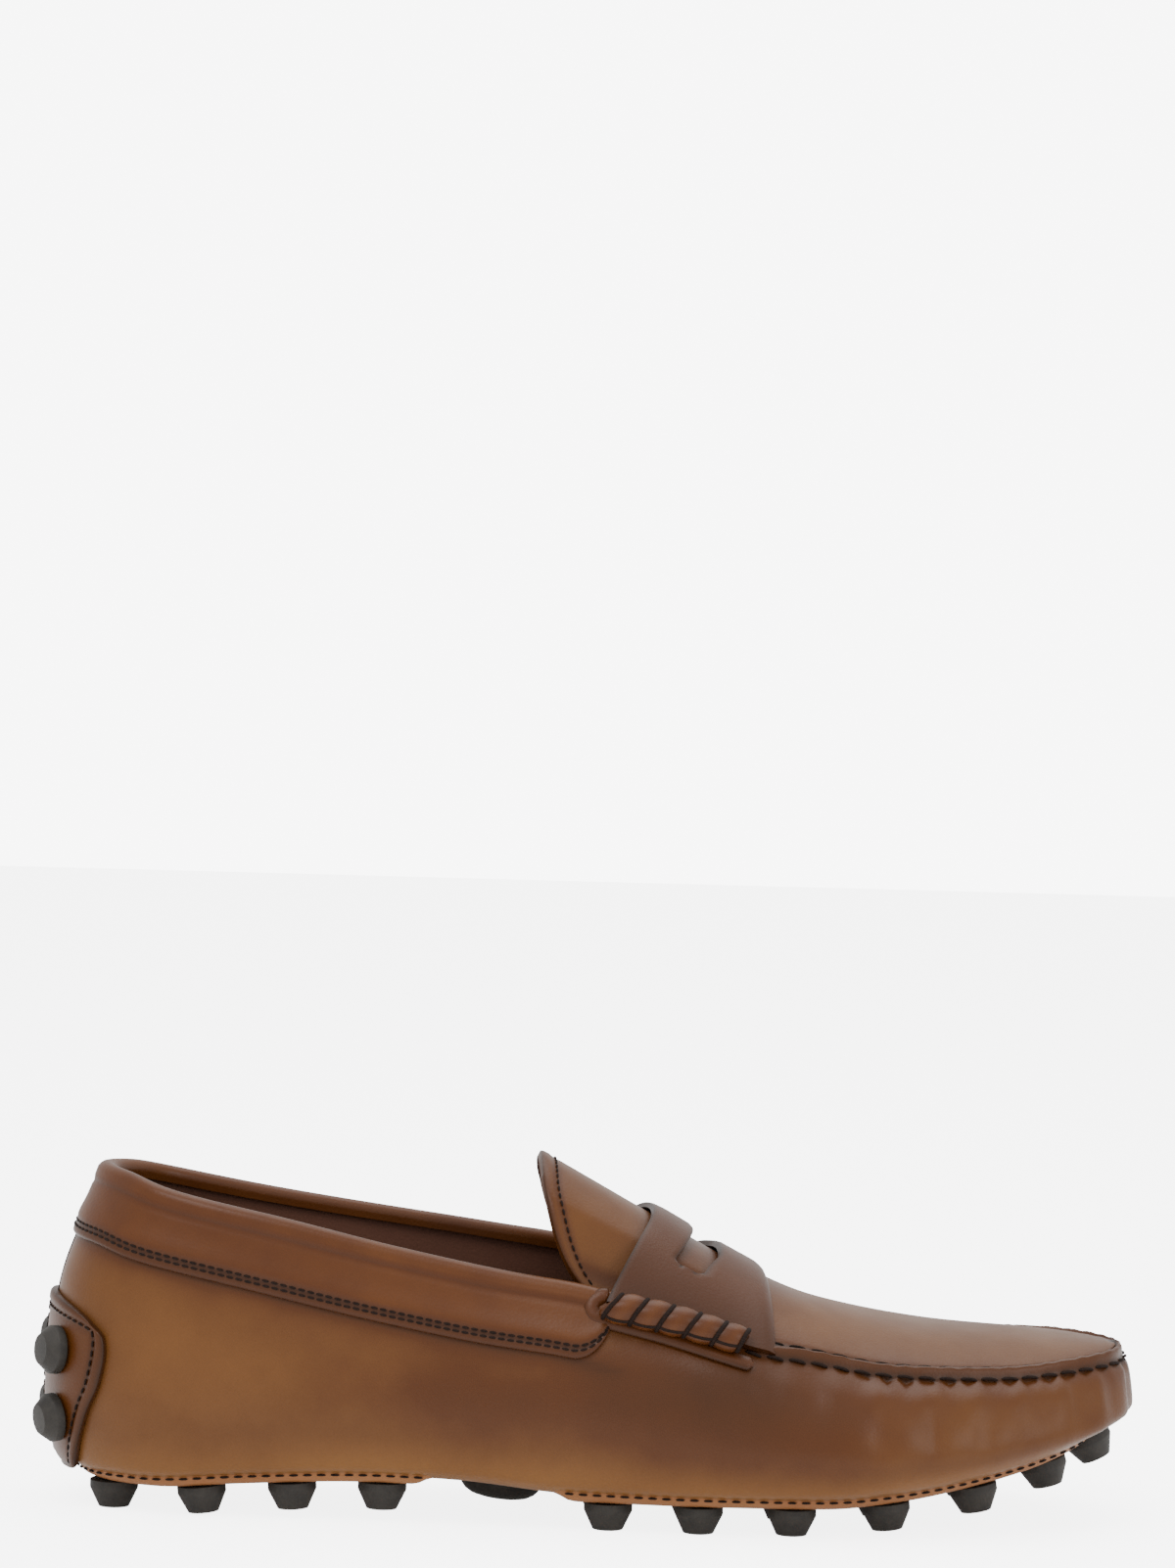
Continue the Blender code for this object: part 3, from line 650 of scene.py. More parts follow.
def rubber_material():
    mat, nodes, links, shader, place = new_material("stud_rubber", Roughness=0.62, Specular_IOR_Level=0.3)
    paint(nodes, links, shader, noise_node(nodes, links, place, 260.0, 4.0, 0.6),
          [(0.30, to_linear((26, 23, 20))), (0.72, to_linear((42, 38, 33)))])
    add_bump(nodes, links, shader, noise_node(nodes, links, place, 1600.0, 3.0, 0.6), 0.22)
    return mat


def thread_material():
    mat, nodes, links, shader, place = new_material("waxed_thread", Roughness=0.75, Specular_IOR_Level=0.12)
    paint(nodes, links, shader, noise_node(nodes, links, place, 2200.0, 2.0, 0.6),
          [(0.3, to_linear((14, 8, 6))), (0.8, to_linear((36, 21, 14)))])
    return mat


LEATHER = leather("calf_body", (108, 71, 33), (68, 35, 8), (22, 10, 3))
STRAP_LEATHER = leather("calf_strap", (100, 62, 30), (64, 33, 11), (22, 10, 4), shift=0.06)
BAND_LEATHER = leather("calf_band", (108, 66, 25), (68, 34, 8), (22, 10, 3), shift=0.05)
SOLE_LEATHER = leather("sole_leather", (142, 98, 60), (112, 68, 36), (52, 31, 17), 0.5, 0.2)
LINING = leather("lining_leather", (104, 70, 55), (82, 53, 41), (38, 24, 18), 0.7, 0.18)
RUBBER = rubber_material()
THREAD = thread_material()


# Body and apron


def even_around(count):
    """Turns at even distances along the widest ring, with the throat's turn among them."""
    fine = np.linspace(0, 1, 601)
    run = run_along(skin(fine, 0.6))
    turns = np.interp(np.linspace(0, run[-1], count + 1), run, fine)
    turns[np.argmin(np.abs(turns - edge_turn(THROAT)))] = edge_turn(THROAT)
    return turns


HALF = 130
TURNS = even_around(HALF)
AROUND = np.concatenate([TURNS, 2.0 - TURNS[-2:0:-1]])
LEVELS = np.concatenate([np.linspace(0, 0.27, 8), np.linspace(0.27, 0.80, 34)[1:],
                         np.linspace(0.80, 1.0, 26)[1:]])


def seam_run():
    """Distance along the edge ring from the toe's tip, for each place around."""
    run = run_along(skin(AROUND, 1.0))
    return run - run[HALF]


SEAM_RUN = seam_run()


def ridge_grow(turn):
    """How much of the seam's ridge stands at a turn: none along the collar, all past the strap."""
    return step_up(share_of(turn), RIDGE_START, RIDGE_FULL)


def turn_from(around):
    return np.where(around <= 1.0, around, 2.0 - around)


def body_relief(around, level, run, below):
    """Outward lift of the body leather: gathers under the seam, soft waves, the back seam."""
    turn = turn_from(around)
    grow = ridge_grow(turn)
    phase = 2 * math.pi * run / SEAM_PITCH
    vary = 0.75 + 0.25 * np.sin(run * 143.0 + 1.0) + 0.15 * np.sin(run * 61.0)
    depth = np.exp(-below / 0.0095) * step_up(below, 0.0006, 0.0030)
    toward_toe = 0.35 + 0.65 * step_up(share_of(turn), 0.70, 0.76)
    gather = -0.00085 * grow * toward_toe * vary * depth * (1 + np.cos(phase + 0.5 * np.sin(run * 90)))
    long_gather = -0.00045 * grow * np.exp(-((below - 0.011) / 0.007) ** 2) * (
        1 + np.cos(phase / 2.0 + 1.3 * np.sin(run * 40)))
    x = skin(around, level)[..., 0]
    wave = np.zeros_like(x)
    # share of the length, width, level, depth
    for place, width, height, deep in ((0.745, 0.011, 0.56, -0.0011), (0.792, 0.009, 0.56, -0.0012),
                                       (0.840, 0.009, 0.54, -0.0011), (0.880, 0.008, 0.56, -0.0008),
                                       (0.660, 0.020, 0.72, -0.0006), (0.560, 0.030, 0.66, -0.0004)):
        wave += deep * bump_at(x / LENGTH, place, width) * bump_at(level, height + 0.14, 0.10)
    seam = -0.00045 * bump_at(turn, 0.0, 0.0045) * step_up(level, 0.70, 0.74)
    return gather + long_gather + wave + seam


def tone_and_painted_light_of_body(around, level, below):
    turn = turn_from(around)
    grow = ridge_grow(turn)
    share = skin(around, level)[..., 0] / LENGTH
    tone = 0.30 + 0.22 * grow * np.exp(-below / 0.006) + 0.30 * grow * bump_at(below, 0.0022, 0.0009)
    # painted shade: a dark patch high on the side, below the front end of the roll
    tone += 0.26 * bump_at(share, 0.61, 0.10) * bump_at(level, 0.78, 0.17)
    # painted shade: the middle of the side made darker
    tone += 0.16 * bump_at(share, 0.45, 0.16) * bump_at(level, 0.66, 0.12)
    # painted shade: a dark strip just below the collar band's lower edge
    band_low = BAND_HEIGHT + 0.0005
    rear = 1 - step_up(share, 0.49, 0.53)
    tone += 0.30 * rear * np.exp(-np.abs(below - band_low) / 0.0022)
    tone -= 0.24 * (1 - step_up(level, 0.38, 0.56))
    # painted highlight: a lighter sheen high on the heel's sides
    tone -= 0.10 * bump_at(share, 0.12, 0.12) * bump_at(level, 0.72, 0.12)
    tone += 0.35 * np.exp(-(turn / 0.006) ** 2) * step_up(level, 0.70, 0.74)
    return tone


def body_wall():
    """Outside, inside and tone of the body leather, from the middle of the bottom up to the edge."""
    around, level = np.meshgrid(AROUND, LEVELS, indexing="ij")
    points, normals = skin(around, level), skin_out(around, level)
    steps = np.linalg.norm(np.diff(points, axis=1), axis=2)
    up_run = np.concatenate([np.zeros((len(AROUND), 1)), np.cumsum(steps, axis=1)], axis=1)
    below = up_run[:, -1:] - up_run
    run = np.repeat(SEAM_RUN[:, None], len(LEVELS), 1)
    lift = body_relief(around, level, run, below)
    scallop = 1 + 0.10 * np.cos(2 * math.pi * run / SEAM_PITCH)
    ridge = RIDGE_HEIGHT * ridge_grow(turn_from(around)) * scallop * np.exp(-(below / RIDGE_HALF) ** 2)
    rise = normals + np.array([0.0, 0.0, 1.0])
    rise /= np.maximum(np.linalg.norm(rise, axis=2, keepdims=True), 1e-9)
    outer = points + normals * lift[..., None] + rise * ridge[..., None]
    return outer, points - normals * WALL, tone_and_painted_light_of_body(around, level, below)


def apron_plate(rows):
    """Outside, inside and tone of the apron, between the two halves of the edge."""
    across = 2 * (np.arange(1, 56) / 56) - 1
    across = 0.55 * across - 0.45 * np.cos((across + 1) / 2 * math.pi)
    share, q = np.meshgrid(edge_share(TURNS[rows]), across, indexing="ij")
    plate, plate_out = instep(share, q), instep_out(share, q)
    left, right = skin(TURNS[rows], 1.0)[:, None, :], skin(2.0 - TURNS[rows], 1.0)[:, None, :]
    inside = np.minimum(np.linalg.norm(plate - left, axis=2), np.linalg.norm(plate - right, axis=2))
    inside = np.minimum(inside, np.linalg.norm(plate - skin(1.0, 1.0), axis=2) * 0.92)
    grow = ridge_grow(TURNS[rows])[:, None]
    run = np.where(q < 0, SEAM_RUN[rows][:, None], -SEAM_RUN[rows][:, None])
    wave = np.cos(2 * math.pi * run / SEAM_PITCH)
    ridge = RIDGE_HEIGHT * grow * (1 + 0.10 * wave) * np.exp(-(inside / RIDGE_HALF) ** 2)
    groove = -0.0005 * grow * bump_at(inside, 0.0026, 0.0008)
    pinch = -0.00022 * grow * np.exp(-inside / 0.006) * (1 + wave) * step_up(inside, 0.002, 0.004)
    outer = plate + plate_out * (groove + pinch)[..., None]
    outer[..., 2] += ridge
    tone = 0.28 + 0.22 * grow * np.exp(-inside / 0.0045) + 0.55 * grow * bump_at(inside, 0.0024, 0.0008)
    # painted shade: the apron darker under and just ahead of the strap's front edge
    tone += 0.10 * (1 - step_up(share, 0.65, 0.70))
    return outer, plate - plate_out * WALL, tone


def build_body():
    """Hollow body and apron in one closed skin, lined on its inside."""
    wide, levels = len(AROUND), len(LEVELS)
    rows = np.arange(int(np.argmin(np.abs(TURNS - edge_turn(THROAT)))), HALF)
    wall, plate = body_wall(), apron_plate(rows)
    ids = np.arange(wide * levels).reshape(wide, levels)
    for i in range(1, HALF):
        ids[2 * HALF - i, 0] = ids[i, 0]
    faces = merged_faces(ids, True)
    cell = wide * levels + np.arange(plate[2].size).reshape(plate[2].shape)
    lines = [[int(ids[r, -1]), *[int(c) for c in cell[k]], int(ids[2 * HALF - r, -1])]
             for k, r in enumerate(rows)]
    for a, b in zip(lines, lines[1:]):
        faces += [(a[c], b[c], b[c + 1], a[c + 1]) for c in range(len(a) - 1)]
    last, tip = lines[-1], int(ids[HALF, -1])
    faces += [(last[c], tip, last[c + 1]) for c in range(len(last) - 1)]

    outer, inner = [np.concatenate([wall[k].reshape(-1, 3), plate[k].reshape(-1, 3)]) for k in (0, 1)]
    tone = np.concatenate([wall[2].ravel(), plate[2].ravel()])
    faces, outer, inner, tone = drop_unused(faces, outer, inner, tone)
    make_sheet("moccasin_body", outer, inner, faces, LEATHER, "upper", tone, 0.35, LINING)


# Collar band


def band_fill(left):
    """Share of the band's height at a distance in turns from its end: a rounded corner."""
    reach = np.clip(1 - left / BAND_CORNER, 0, 1)
    return 0.40 + 0.60 * math.sqrt(1 - reach * reach)


def band_loop(turn, end):
    """Section of the binding at a turn, and its tones: outside, over the edge, down inside and back."""
    low, high = CLEARANCE, CLEARANCE + BAND_THICKNESS
    around = turn % 2.0
    wall = wall_height(around)
    near_end = band_fill(end - abs(turn))
    bottom = 1.0 - BAND_HEIGHT * near_end / wall
    levels = np.concatenate([np.linspace(bottom, bottom + 0.004, 3),
                             np.linspace(bottom + 0.004, 1.0, 22)[1:]])
    height = (levels - bottom) * wall
    puff = 0.00035 * bump_at(height, 0.0055, 0.0030) - 0.00035 * bump_at(height, 0.0030, 0.0011)
    puff += 0.0002 * step_up(height, 0.0140, 0.0155) - 0.00025 * bump_at(height, 0.0142, 0.0007)
    puff -= (high - low) * 0.6 * np.exp(-height / 0.0004)
    edge, out = skin(around, 1.0), skin_out(around, 1.0)
    up = edge - skin(around, levels[-3])
    up = up / np.linalg.norm(up)
    arc = np.linspace(0, math.pi, 9)[1:-1, None]
    caps = [edge - out * WALL / 2 + (WALL / 2 + reach) * (out * np.cos(arc) + up * 0.9 * np.sin(arc))
            for reach in (low, high)]
    down = np.linspace(1.0, 1.0 - BAND_FOLD * FOLD_SEEN * near_end / wall, 8)
    loop = np.concatenate([
        lifted(around, levels, high + puff), caps[1], lifted(around, down, -WALL - high),
        lifted(around, down, -WALL - low)[::-1], caps[0][::-1], lifted(around, levels, low)[::-1]])
    tone = np.full(len(loop), 0.34)
    tone[:len(levels)] += (0.30 * np.exp(-height / 0.0012) + 0.34 * bump_at(height, 0.0028, 0.0012)
                           + 0.16 * bump_at(height, 0.0148, 0.0007))
    return loop, tone


def build_band():
    """Binding sewn outside the wall, folded over the edge and down inside."""
    end = edge_turn(BAND_END)
    turns = end - 0.05 * np.linspace(0, 1, 30) ** 1.6
    turns = np.concatenate([turns, np.linspace(end - 0.05, 0, 70)[1:]])
    turns = np.concatenate([turns, -turns[-2::-1]])
    loops, tones = zip(*[band_loop(turn, end) for turn in turns])
    points, faces = sweep_faces(loops)
    make_piece("collar_binding", points, faces, [BAND_LEATHER], ["collar_band"],
               np.concatenate(tones))
    for height in BAND_ROWS:
        rows = []
        for turn in np.linspace(end - 0.001, -end + 0.001, 900):
            around = turn % 2.0
            level = 1.0 - (BAND_HEIGHT * band_fill(end - abs(turn)) - height) / wall_height(around)
            rows.append(lifted(around, level, CLEARANCE + BAND_THICKNESS - 0.00005))
        STITCH_ROWS.append((f"band_{int(height * 10000)}", np.array(rows), BAND_SEWING))


def sweep_faces(loops):
    size = len(loops[0])
    points = np.concatenate(loops)
    faces = grid_faces(len(loops), size, wrap=True)
    final = (len(loops) - 1) * size
    faces.append(tuple(reversed(range(size))))
    faces.append(tuple(final + k for k in range(size)))
    return points, faces


# Heel patch


def patch_half(rise):
    return curve([0, 0.33, 0.54, 0.69, 0.87, 0.96, 1.0],
                 [0.016, 0.030, 0.040, 0.048, 0.052, 0.049, 0.041], rise)


def patch_place(rise, c):
    """Place around and level of the heel patch's point: rise up it, c across it."""
    half = turn_of(patch_half(rise))
    lift = rise * (1 - 0.07 * c ** 2 - 0.035 * c ** 8) + 0.05 * (1 - rise) * c ** 4
    return (-c * half) % 2.0, PATCH_LOW + (PATCH_TOP - PATCH_LOW) * lift


def build_patch():
    rise = np.concatenate([[0, 0.008, 0.02, 0.035], np.linspace(0.05, 0.95, 34), [0.965, 0.98, 0.992, 1.0]])
    c = np.sin(np.linspace(-1, 1, 69) * math.pi / 2)
    rise, c = np.meshgrid(rise, c, indexing="ij")
    around, level = patch_place(rise, c)
    points, normals = skin(around, level), skin_out(around, level)
    to_side = (1 - np.abs(c)) * patch_arc(rise)
    to_end = np.minimum(rise, 1 - rise) * PATCH_HEIGHT
    inside = np.minimum(to_side, to_end)
    border = PATCH_BORDER + 0.0006
    lift = 0.00045 * (1 - step_up(inside, PATCH_BORDER - 0.0004, PATCH_BORDER + 0.0003))
    lift -= 0.0006 * np.exp(-inside / 0.00035) + 0.00025 * bump_at(inside, border, 0.0005)
    outer = points + normals * (CLEARANCE + PATCH_THICKNESS + lift)[..., None]
    inner = points + normals * CLEARANCE
    tone = 0.40 + 0.42 * np.exp(-inside / 0.0009) + 0.30 * bump_at(inside, border, 0.0008)
    make_sheet("heel_guard", outer, inner, grid_faces(*rise.shape), LEATHER, "heel_patch",
               tone, 0.6)

    top = 1 - border / PATCH_HEIGHT
    rises = np.concatenate([np.linspace(0.06, top, 70), np.full(78, top), np.linspace(top, 0.06, 70)])
    sides = np.concatenate([np.full(70, -1.0), np.linspace(-1, 1, 80)[1:-1], np.full(70, 1.0)])
    middle = np.linspace(0.10, 0.94, 60)
    for name, rise, c, sewing in (
            ("guard", rises, sides * (1 - border / patch_arc(rises)), EDGE_SEWING),
            ("guard_middle", middle, np.zeros_like(middle), MIDDLE_SEWING)):
        rows = lifted(*patch_place(rise, c), CLEARANCE + PATCH_THICKNESS + 0.0001)
        STITCH_ROWS.append((name, rows, sewing))


def patch_arc(rise):
    """Distance from the middle of the patch to its side, in metres."""
    return turn_of(patch_half(rise)) * PATCH_GIRTH


# Tongue and strap


def tongue_point(share, q):
    side = np.sign(q) + (q == 0)
    tuck = step_up(np.abs(q), 0.55, TONGUE_REACH)
    sink = instep(share, TONGUE_REACH * side)[..., 2] - instep(share, side)[..., 2] + TONGUE_TUCK
    point = instep(share, q)
    point[..., 2] -= tuck * sink
    return point


def tongue_rear(q):
    return TONGUE_TIP + (TONGUE_SIDE - TONGUE_TIP) * np.abs(q / TONGUE_REACH) ** 7


def build_tongue():
    t = np.concatenate([[0, 0.006, 0.014, 0.026], np.linspace(0.04, 1, 46)])
    q = TONGUE_REACH * np.sin(np.linspace(-1, 1, 81) * math.pi / 2 * 0.96) / math.sin(math.pi / 2 * 0.96)
    t, q = np.meshgrid(t, q, indexing="ij")
    rear, front = tongue_rear(q), THROAT - 0.006
    share = rear + (front - rear) * t
    points, normals = tongue_point(share, q), instep_out(share, q)
    inside = np.minimum((share - rear) * LENGTH, (TONGUE_REACH - np.abs(q)) * TONGUE_HALF_WIDTH)
    lift = -0.0005 * np.exp(-inside / 0.0004) - 0.00022 * bump_at(inside, TONGUE_BORDER, 0.0005)
    lift += 0.0002 * (1 - step_up(inside, 0.0020, 0.0030))
    top = -CLEARANCE
    outer = points + normals * (top + lift)[..., None]
    inner = points + normals * (top - TONGUE_THICKNESS)
    tone = 0.31 + 0.40 * np.exp(-inside / 0.0007) + 0.20 * bump_at(inside, TONGUE_BORDER, 0.0010)
    # painted shade: the tongue darker near and under the strap, where the slot shows it
    tone += 0.10 * step_up(share, 0.52, 0.56)
    make_sheet("tongue_flap", outer, inner, grid_faces(*t.shape), LEATHER, "tongue",
               tone, 0.4, LINING)
    q = np.linspace(-0.79, 0.79, 300)
    share = tongue_rear(q) + TONGUE_BORDER / LENGTH
    rows = tongue_point(share, q) + instep_out(share, q) * (top + 0.0001)
    STITCH_ROWS.append(("tongue", rows, EDGE_SEWING))


SLOT_Q = SLOT_LENGTH / (0.72 * BALL_WIDTH)
SLOT_MIDDLE = (SLOT_REAR + SLOT_FRONT) / 2
SLOT_SPAN = SLOT_FRONT - SLOT_REAR


def slot_edges(q):
    """Rear and front edge of the slot at q: round at its ends, wider at the middle."""
    notch = np.maximum(0.0, 1 - np.abs(q) / SLOT_Q)
    past = ((np.abs(q) / SLOT_Q - 1) / SLOT_ROUND + 1).clip(0, 1)
    near_end = np.sqrt(np.clip(1 - past ** 2, 0.02, 1))
    half = 0.30 * SLOT_SPAN * near_end
    swing = (np.abs(q) / SLOT_Q) ** 2
    near = SLOT_MIDDLE - half - 0.022 * swing
    far = SLOT_MIDDLE + half - 0.013 * swing + 0.27 * SLOT_SPAN * step_up(notch, 0.0, 0.62)
    return near, far


def build_strap():
    straight = (1 - SLOT_ROUND) * SLOT_Q
    one_side = np.concatenate([np.linspace(straight, SLOT_Q, 7), np.linspace(SLOT_Q, STRAP_END, 24)[1:]])
    q = np.concatenate([-one_side[::-1], np.linspace(-straight, straight, 55)[1:-1], one_side])
    rear = STRAP_REAR_TOP + (STRAP_REAR_SIDE - STRAP_REAR_TOP) * np.abs(q) ** 2
    near, far = slot_edges(q)
    rear_steps, slot_steps = 14, 7
    rows = [rear]
    for a, b, steps in ((rear, near, rear_steps), (near, far, slot_steps),
                        (far, np.full_like(q, STRAP_FRONT), rear_steps)):
        rows += [a + (b - a) * t for t in np.linspace(0, 1, steps + 1)[1:]]
    share = np.array(rows)
    q = np.repeat(q[None, :], len(rows), 0)
    points, normals = instep(share, q), instep_out(share, q)
    holes = np.zeros((share.shape[0] - 1, share.shape[1] - 1), bool)
    middle = (q[0, 1:] + q[0, :-1]) / 2
    holes[rear_steps:rear_steps + slot_steps, :] = (np.abs(middle) < SLOT_Q)[None, :]
    edge = np.minimum((share - share[:1]) * LENGTH, (STRAP_FRONT - share) * LENGTH)
    inside_slot = np.abs(q) < SLOT_Q + 0.02
    slot_gap = np.minimum(np.abs(share - near), np.abs(share - far)) * LENGTH
    rim = np.where(inside_slot, np.minimum(edge, slot_gap), edge)
    front = (STRAP_FRONT - share) * LENGTH
    sag = 0.0003 * np.exp(-rim / 0.0003) + 0.0012 * np.exp(-front / 0.0016)
    crown = 0.0003 * bump_at(np.abs(q), 0.0, 0.5) * step_up(edge, 0.0, 0.004)
    seat = 2 * CLEARANCE * (1 - step_up(np.abs(q), 0.8, 0.98))
    seat = seat - 3 * CLEARANCE * step_up(share, THROAT, THROAT + 0.012)
    outer = points + normals * (2 * CLEARANCE + STRAP_THICKNESS - sag + crown)[..., None]
    inner = points + normals * seat[..., None]
    tone = 0.38 + 0.36 * np.exp(-rim / 0.0005) * step_up(front, 0.0, 0.002)
    tone += 0.16 * step_up(np.abs(q), 0.5, 0.95)
    make_sheet("saddle", outer, inner, grid_faces(*share.shape, holes=holes), STRAP_LEATHER, "saddle_strap",
               tone, 0.7)


def roll_frame(run, side):
    """Middle of a roll at a place along it, and its directions outward, up and toward the toe."""
    turn = edge_turn(ROLL_REAR + (ROLL_FRONT - ROLL_REAR) * run)
    around = turn if side < 0 else 2.0 - turn
    normal = skin_out(around, 1.0)
    ahead = skin(around + 0.012, 1.0) - skin(around - 0.012, 1.0)
    ahead = ahead / np.linalg.norm(ahead)
    up = np.cross(normal, ahead)
    up = up / np.linalg.norm(up) * (1 if up[2] > 0 else -1)
    centre = lifted(around, 1.0, ROLL_RADIUS + 3 * CLEARANCE) - up * ROLL_DROP
    return centre, normal, up, ahead * (1 if ahead[0] > 0 else -1)


def roll_radius(run):
    puff = np.abs(np.sin(math.pi * (run * ROLL_PUFFS))) ** 0.55
    inner = (run - ROLL_START) / (1 - ROLL_START)
    end = math.sqrt(max(0.0, 1 - abs(2 * inner - 1) ** 16)) * 0.45 + 0.55
    return ROLL_RADIUS * (0.80 + 0.22 * puff) * end


def roll_ring(run, side, angles, radius, oval=0.26):
    """Points around a roll; each ring's top leans toward the toe, less so at the roll's front."""
    centre, normal, up, ahead = roll_frame(run, side)
    rise = np.sin(angles)[:, None]
    ring = normal * np.cos(angles)[:, None] + up * (1 + oval * np.abs(rise)) * rise
    return centre + ring * radius + ahead * ROLL_SLANT * (1 - 0.6 * run) * rise


def build_roll(name, side, node):
    """Puffed roll, a bar of thread in each valley, and a thread along its lower edge."""
    sides = 28
    runs = ROLL_START + (1 - ROLL_START) * np.linspace(0, 1, ROLL_PUFFS * 22 + 1)
    points, faces = sweep_faces([roll_ring(run, side, circle(sides), roll_radius(run)) for run in runs])
    # painted shade: the roll darker in the valleys between its puffs
    valley = 1 - np.abs(np.sin(math.pi * runs * ROLL_PUFFS)) ** 0.5
    make_piece(name, points, faces, [BAND_LEATHER], [node],
               np.repeat(0.32 + 0.45 * valley, sides))
    for k in range(1, ROLL_PUFFS + 1):
        run = min(ROLL_END, k / ROLL_PUFFS)
        path = roll_ring(run, side, np.linspace(-1.9, 1.9, 26), roll_radius(run) + 0.00025)
        THREAD_TUBES.append((path, WHIP_RADIUS))
    path = [roll_ring(run, side, np.array([-1.15]), roll_radius(run), 0.252)[0]
            for run in np.linspace(1 / ROLL_PUFFS, ROLL_END, 80)]
    THREAD_TUBES.append((np.array(path), WHIP_EDGE_RADIUS))


LIP_PATH = [
    # share of the length, distance below the edge
    (0.501, -0.0010),
    (0.494, 0.0002),
    (0.4885, 0.0020),
    (0.4878, 0.0040),
    (0.4920, 0.0056),
    (0.505, 0.0062),
    (0.560, 0.0066),
    (0.610, 0.0070),
    (0.634, 0.0073),
]


def build_lip(name, side):
    """Folded leather edge that runs along the underside of a roll and turns up behind it."""
    knots = np.array(LIP_PATH)
    run = run_along(knots * np.array([LENGTH, 1.0]))
    places = np.linspace(0, run[-1], 120)
    share, below = [blur_rows(np.interp(places, run, knots[:, k]), 4, False) for k in (0, 1)]
    turn = ring_turn("edge", share)
    around = turn if side < 0 else 2.0 - turn
    level = 1 - below / wall_height(around, 0.1)
    out, centre = skin_out(around, level), lifted(around, level, 0.0007)
    ahead = np.gradient(centre, axis=0)
    across = np.cross(out, ahead)
    across /= np.linalg.norm(across, axis=1, keepdims=True)
    across *= np.where(across[-1, 2] < 0, -1.0, 1.0)
    ends = np.minimum(places, places[-1] - places)
    thin = 0.4 + 0.6 * step_up(ends, 0.0, 0.0012)
    sides = 18
    loops = []
    for k in range(len(places)):
        ring = round_ring(out[k] * LIP_HALF_THICKNESS, across[k] * LIP_HALF_WIDTH, sides)
        loops.append(centre[k] + ring * thin[k])
    points, faces = sweep_faces(loops)
    tones = np.tile(0.42 + 0.30 * np.abs(np.sin(circle(sides))) ** 3, len(places))
    make_piece(name, points, faces, [BAND_LEATHER], (), tones)


# Soles, insole and studs


def sole_edge(turn):
    return curve([0.80, 0.97], [SOLE_EDGE, SOLE_EDGE_TOE], turn, True)


def bottom_piece(name, node, start, end, edge, low, high, mat, slot_name, tone_value):
    """Sheet on the underside between two turns; it runs around the heel or the toe it holds."""
    closed = start <= 0 and end >= 1
    if closed:
        places = np.linspace(0, 2, 241)[:-1]
    elif start <= 0:
        places = np.concatenate([-np.linspace(end, 0, 90)[:-1], np.linspace(0, end, 90)])
    else:
        places = np.concatenate([np.linspace(start, 1, 110), 2 - np.linspace(1, start, 110)[1:]])
    around = places % 2.0
    turn = turn_from(around)
    edges = edge(turn)
    t = np.concatenate([np.linspace(0, 0.9, 14), [0.93, 0.95, 0.962, 0.974, 0.984, 0.992, 1.0]])
    level = edges[:, None] * t[None, :]
    side = np.repeat(around[:, None], len(t), 1)
    points, normals = skin(side, level), skin_out(side, level)
    inside = (1 - t)[None, :] * np.ones_like(side) * SOLE_HALF_WIDTH
    to_end = 1.0 if closed else np.minimum(places - places[0], places[-1] - places)[:, None] * SOLE_GIRTH
    sink = abs(high - low) * 0.90 * np.exp(-(np.minimum(inside, to_end) / 0.0032) ** 2)
    out_high = points + normals * (high - sink)[..., None]
    out_low = points + normals * low
    ids = np.arange(side.size).reshape(side.shape)
    seen = {}
    for r in range(len(ids)):
        ids[r, 0] = seen.setdefault(round(float(turn[r]), 5), ids[r, 0])
    tone = (tone_value + 0.2 * np.exp(-inside / 0.0008)).ravel()
    faces, high_points, low_points, tone = drop_unused(
        merged_faces(ids, closed), out_high.reshape(-1, 3), out_low.reshape(-1, 3), tone)
    make_sheet(name, high_points, low_points, faces, mat, node, tone, tone)


def build_soles():
    under = (-CLEARANCE, CLEARANCE + SOLE_THICKNESS)
    heel_end, fore_start = float(turn_of(HEEL_SOLE_END)), float(turn_of(FORE_SOLE_START))
    for name, node, start, end in (("heel_tread", "sole_heel", 0.0, heel_end),
                                   ("forefoot_tread", "sole_forefoot", fore_start, 1.0)):
        bottom_piece(name, node, start, end, sole_edge, *under, SOLE_LEATHER, "leather_sole", 0.25)
    inside = (-WALL - CLEARANCE, -WALL - CLEARANCE - INSOLE_THICKNESS)
    bottom_piece("sock_lining", "insole", 0.0, 1.0, lambda t: np.full_like(t, RINGS["tread"]["v"] + 0.02),
                 *inside, LINING, "leather_lining", 0.30)
    for name, start, end in (("heel", -heel_end, heel_end), ("fore", fore_start, 2 - fore_start)):
        around = np.linspace(start + 0.004, end - 0.004, 900) % 2.0
        rows = lifted(around, sole_edge(turn_from(around)) - SOLE_ROW_INSET, 0.0006)
        STITCH_ROWS.append((f"tread_{name}", rows, SOLE_SEWING))


def turned_piece(name, seat, out, profile, node, sides=40):
    """Round rubber piece: profile rows hold height and radius along the direction out."""
    out = out / np.linalg.norm(out)
    side = np.cross(out, np.array([0.0, 1.0, 0.0]))
    side /= np.linalg.norm(side)
    ring = round_ring(side, np.cross(out, side), sides)
    loops = [seat + out * height + ring * radius for height, radius in profile]
    points, faces = sweep_faces(loops)
    make_piece(name, points, faces, [RUBBER], [node])


def stud_profile(height):
    base, face, soft = STUD_BASE_RADIUS * 0.966, STUD_FACE_RADIUS * 1.02, 0.00014
    fall = (height - STUD_BAND) / (base - face)
    return [(0.0, base - soft), (soft * 0.3, base - soft * 0.3), (soft, base),
            (STUD_BAND - soft, base), (STUD_BAND, base - soft * 0.25),
            (STUD_BAND + soft * fall, base - soft * 1.2),
            (height - soft * fall, face + soft * 1.1), (height - soft * 0.2, face + soft * 0.2),
            (height, face - soft)]


